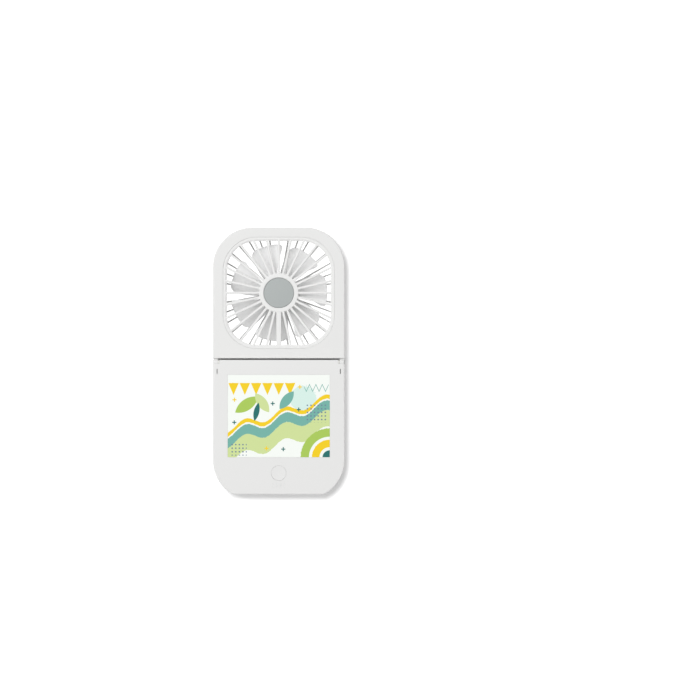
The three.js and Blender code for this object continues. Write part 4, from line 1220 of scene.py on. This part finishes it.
for name, (pattern, even, tones, roughness, depth) in INNER.items():
    finish = Finish(name, even)
    mask = pattern(finish)
    materials[name] = finish.two_tone(mask, tones, roughness, mask, depth)
materials["copper"] = windings()
print("materials with the inner ones:", len(materials))

# %% [markdown]
# The film on the base is printed in flat colours on white, with bands, pennants, rings, leaves, dots and
# crosses. Their colours, places and sizes stand in tables, in millimetres from the film's middle, so that a
# motif can be moved or added without a new formula.

# %% Motifs of the print
TEAL = rgb(112, 174, 162)
DEEP_TEAL = rgb(20, 104, 100)
LIME = rgb(166, 198, 86)
PALE_LIME = rgb(204, 220, 152)
YELLOW = rgb(240, 204, 16)
MINT = rgb(212, 236, 228)
SLATE = rgb(104, 124, 150)
FILM_WHITE = rgb(243, 247, 242)
BRUSH, BRUSH_REACH = 1.1, 0.9  # size of the noise in the outlines, and how far it moves them
SPOTS = (-17, -12, 6), (13, 9, 7)  # middle and radius
SWELL_SLOPE, SWELL_HEIGHT, SWELL_BEND, SWELL_START = 0.3, 2.4, 0.3, 0.6
BANDS = (PALE_LIME, -11, 4.4), (TEAL, -4.2, 2.6), (YELLOW, 0.4, 1.1)  # colour, height and half the width
RING_MIDDLE = (27, -22)
RINGS = (LIME, 11, 15.4), (YELLOW, 5.4, 9.4)  # colour, inner and outer radius
RING_DISC = 3.8
LINE, PENNANT_PITCH, PENNANT_DROP, PENNANT_SLOPE = 17.5, 6, 6.4, 2.3
LEAVES = (  # colour, middle, turn, half the length and half the width
    (LIME, -17, 6, 0.6, 7.4, 3.0), (PALE_LIME, -8.8, 7, 2.2, 6.2, 2.6),
    (DEEP_TEAL, -11.8, 2.2, 1.35, 5.0, 1.5), (TEAL, 4.2, 8.4, 0.9, 6.0, 2.5),
)
DOT, DOT_PITCH = 0.42, 1.9
ZIGZAG_WIDTH, ZIGZAG_LOW, ZIGZAG_SLOPE, ZIGZAG_PITCH, ZIGZAG_START = 0.38, 13, 2.2, 3.4, 1
PENNANT_FIELD, ZIGZAG_FIELD = (-27, 9, 5, 21), (13.5, 26.4, 10, 20)  # left, right, low and high side
DOT_FIELDS = (14, 25.5, -3.5, 6), (-25.5, -17, -21, -14.5)
PLUS_WIDTH, PLUS_LENGTH = 0.28, 1.1  # half of each
PLUSES = {
    DEEP_TEAL: ((-3.2, 6.6), (10.6, 3.4), (-23.6, -3.4), (2.4, -17.6)),
    YELLOW: ((-6.5, -17.2), (11.2, 15.4), (-23.5, 8.6)),
}
print("bands, rings and leaves:", len(BANDS), len(RINGS), len(LEAVES))

# %% [markdown]
# Every motif is a formula that is positive inside its outline and negative outside. Bands follow a sine line,
# pennants hang from a straight one, rings share a corner as their centre, a leaf is where two discs overlap,
# and dots repeat in a grid. A little noise in the outlines makes them look brushed. Later layers cover
# earlier ones. A picture would do the same, but formulas need no file and stay sharp from close by.

# %% Printed film
def printed_film():
    """White film with layers of colour, each where its own formula is positive."""
    finish = Finish("printed_film", {"IOR": 1.5, "Specular IOR Level": 0.25})
    x, y, _ = finish.along()
    brushed = BRUSH_REACH * (finish.noise(BRUSH, 3) - 0.5)
    u = x - FILM_MIDDLE[0]
    v = y - FILM_MIDDLE[1]

    def away(from_u, from_v):
        """Distance from a point of the film."""
        return ((u - from_u) ** 2 + (v - from_v) ** 2) ** 0.5

    def leaf(from_u, from_v, turn, length, width):
        """Overlap of two discs whose edges cross at the leaf's tips: half the length, half the width, and
        the radius that follows from both."""
        radius = (length**2 + width**2) / (2 * width)
        shift = radius - width
        side_u, side_v = -math.sin(turn) * shift, math.cos(turn) * shift
        first = radius - away(from_u + side_u, from_v + side_v)
        return first.low(radius - away(from_u - side_u, from_v - side_v))

    def inside(low_u, high_u, low_v, high_v):
        """Distance to the nearest side of a rectangle."""
        half_u, half_v = (high_u - low_u) / 2, (high_v - low_v) / 2
        return (half_u - abs(u - (low_u + half_u))).low(half_v - abs(v - (low_v + half_v)))

    def plus(from_u, from_v):
        """Small cross of two bars."""
        du, dv = abs(u - from_u), abs(v - from_v)
        upright = (PLUS_WIDTH - du).low(PLUS_LENGTH - dv)
        return upright.high((PLUS_LENGTH - du).low(PLUS_WIDTH - dv))

    swell = v - SWELL_SLOPE * u - SWELL_HEIGHT * (SWELL_BEND * u + SWELL_START).sin()
    ring = away(*RING_MIDDLE)
    hang = LINE - v
    pennant = (PENNANT_DROP - PENNANT_SLOPE * abs(u.repeat(PENNANT_PITCH)) - hang).low(hang)
    dots = DOT - (u.repeat(DOT_PITCH) ** 2 + v.repeat(DOT_PITCH) ** 2) ** 0.5
    zigzag = ZIGZAG_WIDTH - abs(v - ZIGZAG_LOW - ZIGZAG_SLOPE * abs((u - ZIGZAG_START).repeat(ZIGZAG_PITCH)))
    layers = [
        *[(MINT, size + 4 * brushed - away(*spot)) for *spot, size in SPOTS],
        *[(colour, half + brushed - abs(swell - height)) for colour, height, half in BANDS],
        *[(colour, (outer + brushed - ring).low(ring - inner)) for colour, inner, outer in RINGS],
        (DEEP_TEAL, RING_DISC - ring),
        (YELLOW, pennant.low(inside(*PENNANT_FIELD)) + 0.6 * brushed),
        *[(colour, leaf(*place)) for colour, *place in LEAVES],
        *[(SLATE, dots.low(inside(*field))) for field in DOT_FIELDS],
        (TEAL, zigzag.low(inside(*ZIGZAG_FIELD))),
        *[(colour, plus(*spot)) for colour, spots in PLUSES.items() for spot in spots],
    ]
    tone = FILM_WHITE
    for colour, inner in layers:
        tone = finish.mix(inner.cover(), tone, colour)
    return finish.paint(Base_Color=tone, Roughness=0.5 + 0.06 * (finish.noise(12) - 0.5))


materials["printed_film"] = printed_film()
print("film nodes:", len(materials["printed_film"].node_tree.nodes))

# %% [markdown]
# Every piece takes the material of its slot: the new pieces by the slot they were given, the CAD solids that
# still show by the record.

# %% Materials on pieces
node_slot = {part["node"]: part["material_slot"] for part in frame["record"]["subparts"]}
for name, solid in frame["nodes"].items():
    solid["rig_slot"] = node_slot[name]
for piece in bpy.data.objects:
    if piece.type == "MESH" and "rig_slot" in piece:
        piece.data.materials.clear()
        piece.data.materials.append(materials[piece["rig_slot"]])
print("slots in use:", len(set(node_slot.values())))

# %% [markdown]
# The fan lies on a plain white floor. How bright the floor shows depends on where a point lies: away from the
# fan, in its shadow, under it or under its window. One formula gives the distance from the fan's outline.
# It also depends on what looks at the floor, so a second helper tells the kinds of rays apart.

# %% The fan's outline on the floor
SHOWING = ("Camera", "Glossy", "Transmission")  # rays that show the background
LIGHTING = ("Diffuse", "Shadow")  # rays that carry light to the fan


def rays(finish, kinds):
    """1 for rays of these kinds, 0 for others."""
    mask, *others = [finish.add("ShaderNodeLightPath", {}, {}, f"Is {kind} Ray") for kind in kinds]
    for other in others:
        mask = mask.high(other)
    return mask


def past_fan(x, y):
    """Distance from the fan's outline on the floor, negative under the fan, in millimetres: the distance to a
    rounded rectangle, or past the flat end of the base, where that is more."""
    past_x = abs(x) - (HALF_WIDTH - HEAD_CORNER)
    past_y = (y - (HEAD_END - HEAD_CORNER)).high(BASE_END + BASE.corner_length - y)
    rounded = (past_x.high(0) ** 2 + past_y.high(0) ** 2) ** 0.5 - HEAD_CORNER
    return rounded.high(BASE_END - y)


print("outline on the floor:", 2 * HALF_WIDTH.round(2), "by", (HEAD_END - BASE_END).round(2), "mm")

# %% [markdown]
# The camera sees the floor brighter than its light alone would make it, so it turns white wherever light
# reaches it and greys only in the shadow close to the fan. Under the fan it hardly glows, which keeps the
# fold dark. Through the window of the head the picture shows plain white, so there it glows fully. From
# below the floor is clear, and under the fan, except under the fold, light passes through it, so that the
# back can be seen.

# %% Floor
FLOOR_HALF = 2.5  # metres, as for the lamps
FLOOR_TONE = (0.9, 0.9, 0.9, 1)
NEAR_GLOW = (0.15, 0.15, 0.15, 1)
UNDER_GLOW = (0.03, 0.03, 0.03, 1)
WHITE = (1, 1, 1, 1)
SHADOW_REACH = 4.6  # millimetres from the shadow's outline to where it has faded
SHADOW_SHIFT = (0.9, -1.4)  # of that outline from the fan's, in millimetres
UNDER_MARGIN, UNDER_SOFT = 0.5, 0.5  # where the glow ends under the fan's edge, in millimetres
WINDOW_MARGIN, WINDOW_SOFT = 1, 1.5  # where it starts again round the window, in millimetres

floor_loop = np.array([(-1, -1), (1, -1), (1, 1), (-1, 1)]) * FLOOR_HALF
floor_mesh = bpy.data.meshes.new("floor")
floor_mesh.from_pydata(np.column_stack([floor_loop, np.zeros(4)]).tolist(), [], [(0, 1, 2, 3)])
floor = put("floor", floor_mesh)

matt = {"Roughness": 1.0, "Specular IOR Level": 0.0}
ground = Finish("floor", {"Base Color": FLOOR_TONE, "Emission Strength": 1.0, **matt})
ground_x, ground_y, _ = ground.along()
under = past_fan(ground_x, ground_y)
shadow = past_fan(ground_x - SHADOW_SHIFT[0], ground_y - SHADOW_SHIFT[1])
past_fold = abs(ground_y - (HEAD_FOLD + BASE_FOLD) / 2) - (HEAD_FOLD - BASE_FOLD) / 2
window = (abs(ground_x) ** 4 + abs(ground_y - FAN_Y) ** 4) ** 0.25 - WINDOW_HALF
glow = ground.mix((shadow - SHADOW_REACH / 2).cover(SHADOW_REACH), NEAR_GLOW, WHITE)
glow = ground.mix((-UNDER_MARGIN - under).cover(UNDER_SOFT), glow, UNDER_GLOW)
ground.paint(Emission_Color=ground.mix((WINDOW_MARGIN - window).cover(WINDOW_SOFT), glow, WHITE))
plain = ground.add("ShaderNodeBsdfDiffuse", {}, {"Color": FLOOR_TONE})
glowing = Socket(ground, ground.shader.outputs[0])
shown = ground.add("ShaderNodeMixShader", {}, {0: rays(ground, SHOWING), 1: plain, 2: glowing})
below = ground.add("ShaderNodeNewGeometry", {}, {}, "Backfacing")
opening = below.high((0 - under).low(past_fold).cover() * rays(ground, LIGHTING))
clear = ground.add("ShaderNodeBsdfTransparent", {}, {})
partly_clear = ground.add("ShaderNodeMixShader", {}, {0: opening, 1: shown, 2: clear})
ground.feed(ground.tree.nodes["Material Output"], {"Surface": partly_clear})
floor_mesh.materials.append(ground.material)
print("floor nodes:", len(ground.tree.nodes))

# %% [markdown]
# The world is an even sky that lights the fan softly from all sides. Rays that show the background see it as
# pure white, and the fan gets half of that light. A picture of a studio would light it too, but it would
# show in the steel.

# %% World
SKY_LIGHT = 0.5

sky = Finish("sky", {"Color": WHITE, "Strength": SKY_LIGHT}, bpy.data.worlds.new("sky"))
lit = Socket(sky, sky.shader.outputs[0])
backdrop = sky.add("ShaderNodeBackground", {}, {"Color": WHITE, "Strength": 1.0})
behind = sky.add("ShaderNodeMixShader", {}, {0: rays(sky, SHOWING), 1: lit, 2: backdrop})
sky.feed(sky.tree.nodes["World Output"], {"Surface": behind})
bpy.context.scene.world = sky.material
print("sky light", SKY_LIGHT, "and backdrop 1.0")

# %% [markdown]
# Two soft lamps do the rest. A large one hangs nearly overhead, a little to the upper left, and gives the
# narrow shadow on the right and at the bottom. A weaker one stands further to the left, so that blades
# that face left are lighter than blades that face right.

# %% Lamps
def lamp(name, direction, distance, size, light):
    """Square lamp aimed at the fan, with its distance and size in metres. Light is what it adds to a white
    face turned to it, where 1 is white."""
    data = bpy.data.lights.new(name, "AREA")
    data.size = size
    data.energy = light * (np.pi * distance) ** 2
    place = np.array(direction) / np.linalg.norm(direction) * distance
    item = put(name, data)
    item.location = place
    item.rotation_euler = (-Vector(place)).to_track_quat("-Z", "Y").to_euler()
    print(name, "at", place.round(2).tolist(), "with", round(data.energy, 2), "W")


lamp("overhead_lamp", (-0.3, 0.3, 1), distance=2.0, size=1.2, light=0.56)
lamp("left_lamp", (-1, 0.25, 1), distance=3.0, size=1.2, light=0.1)
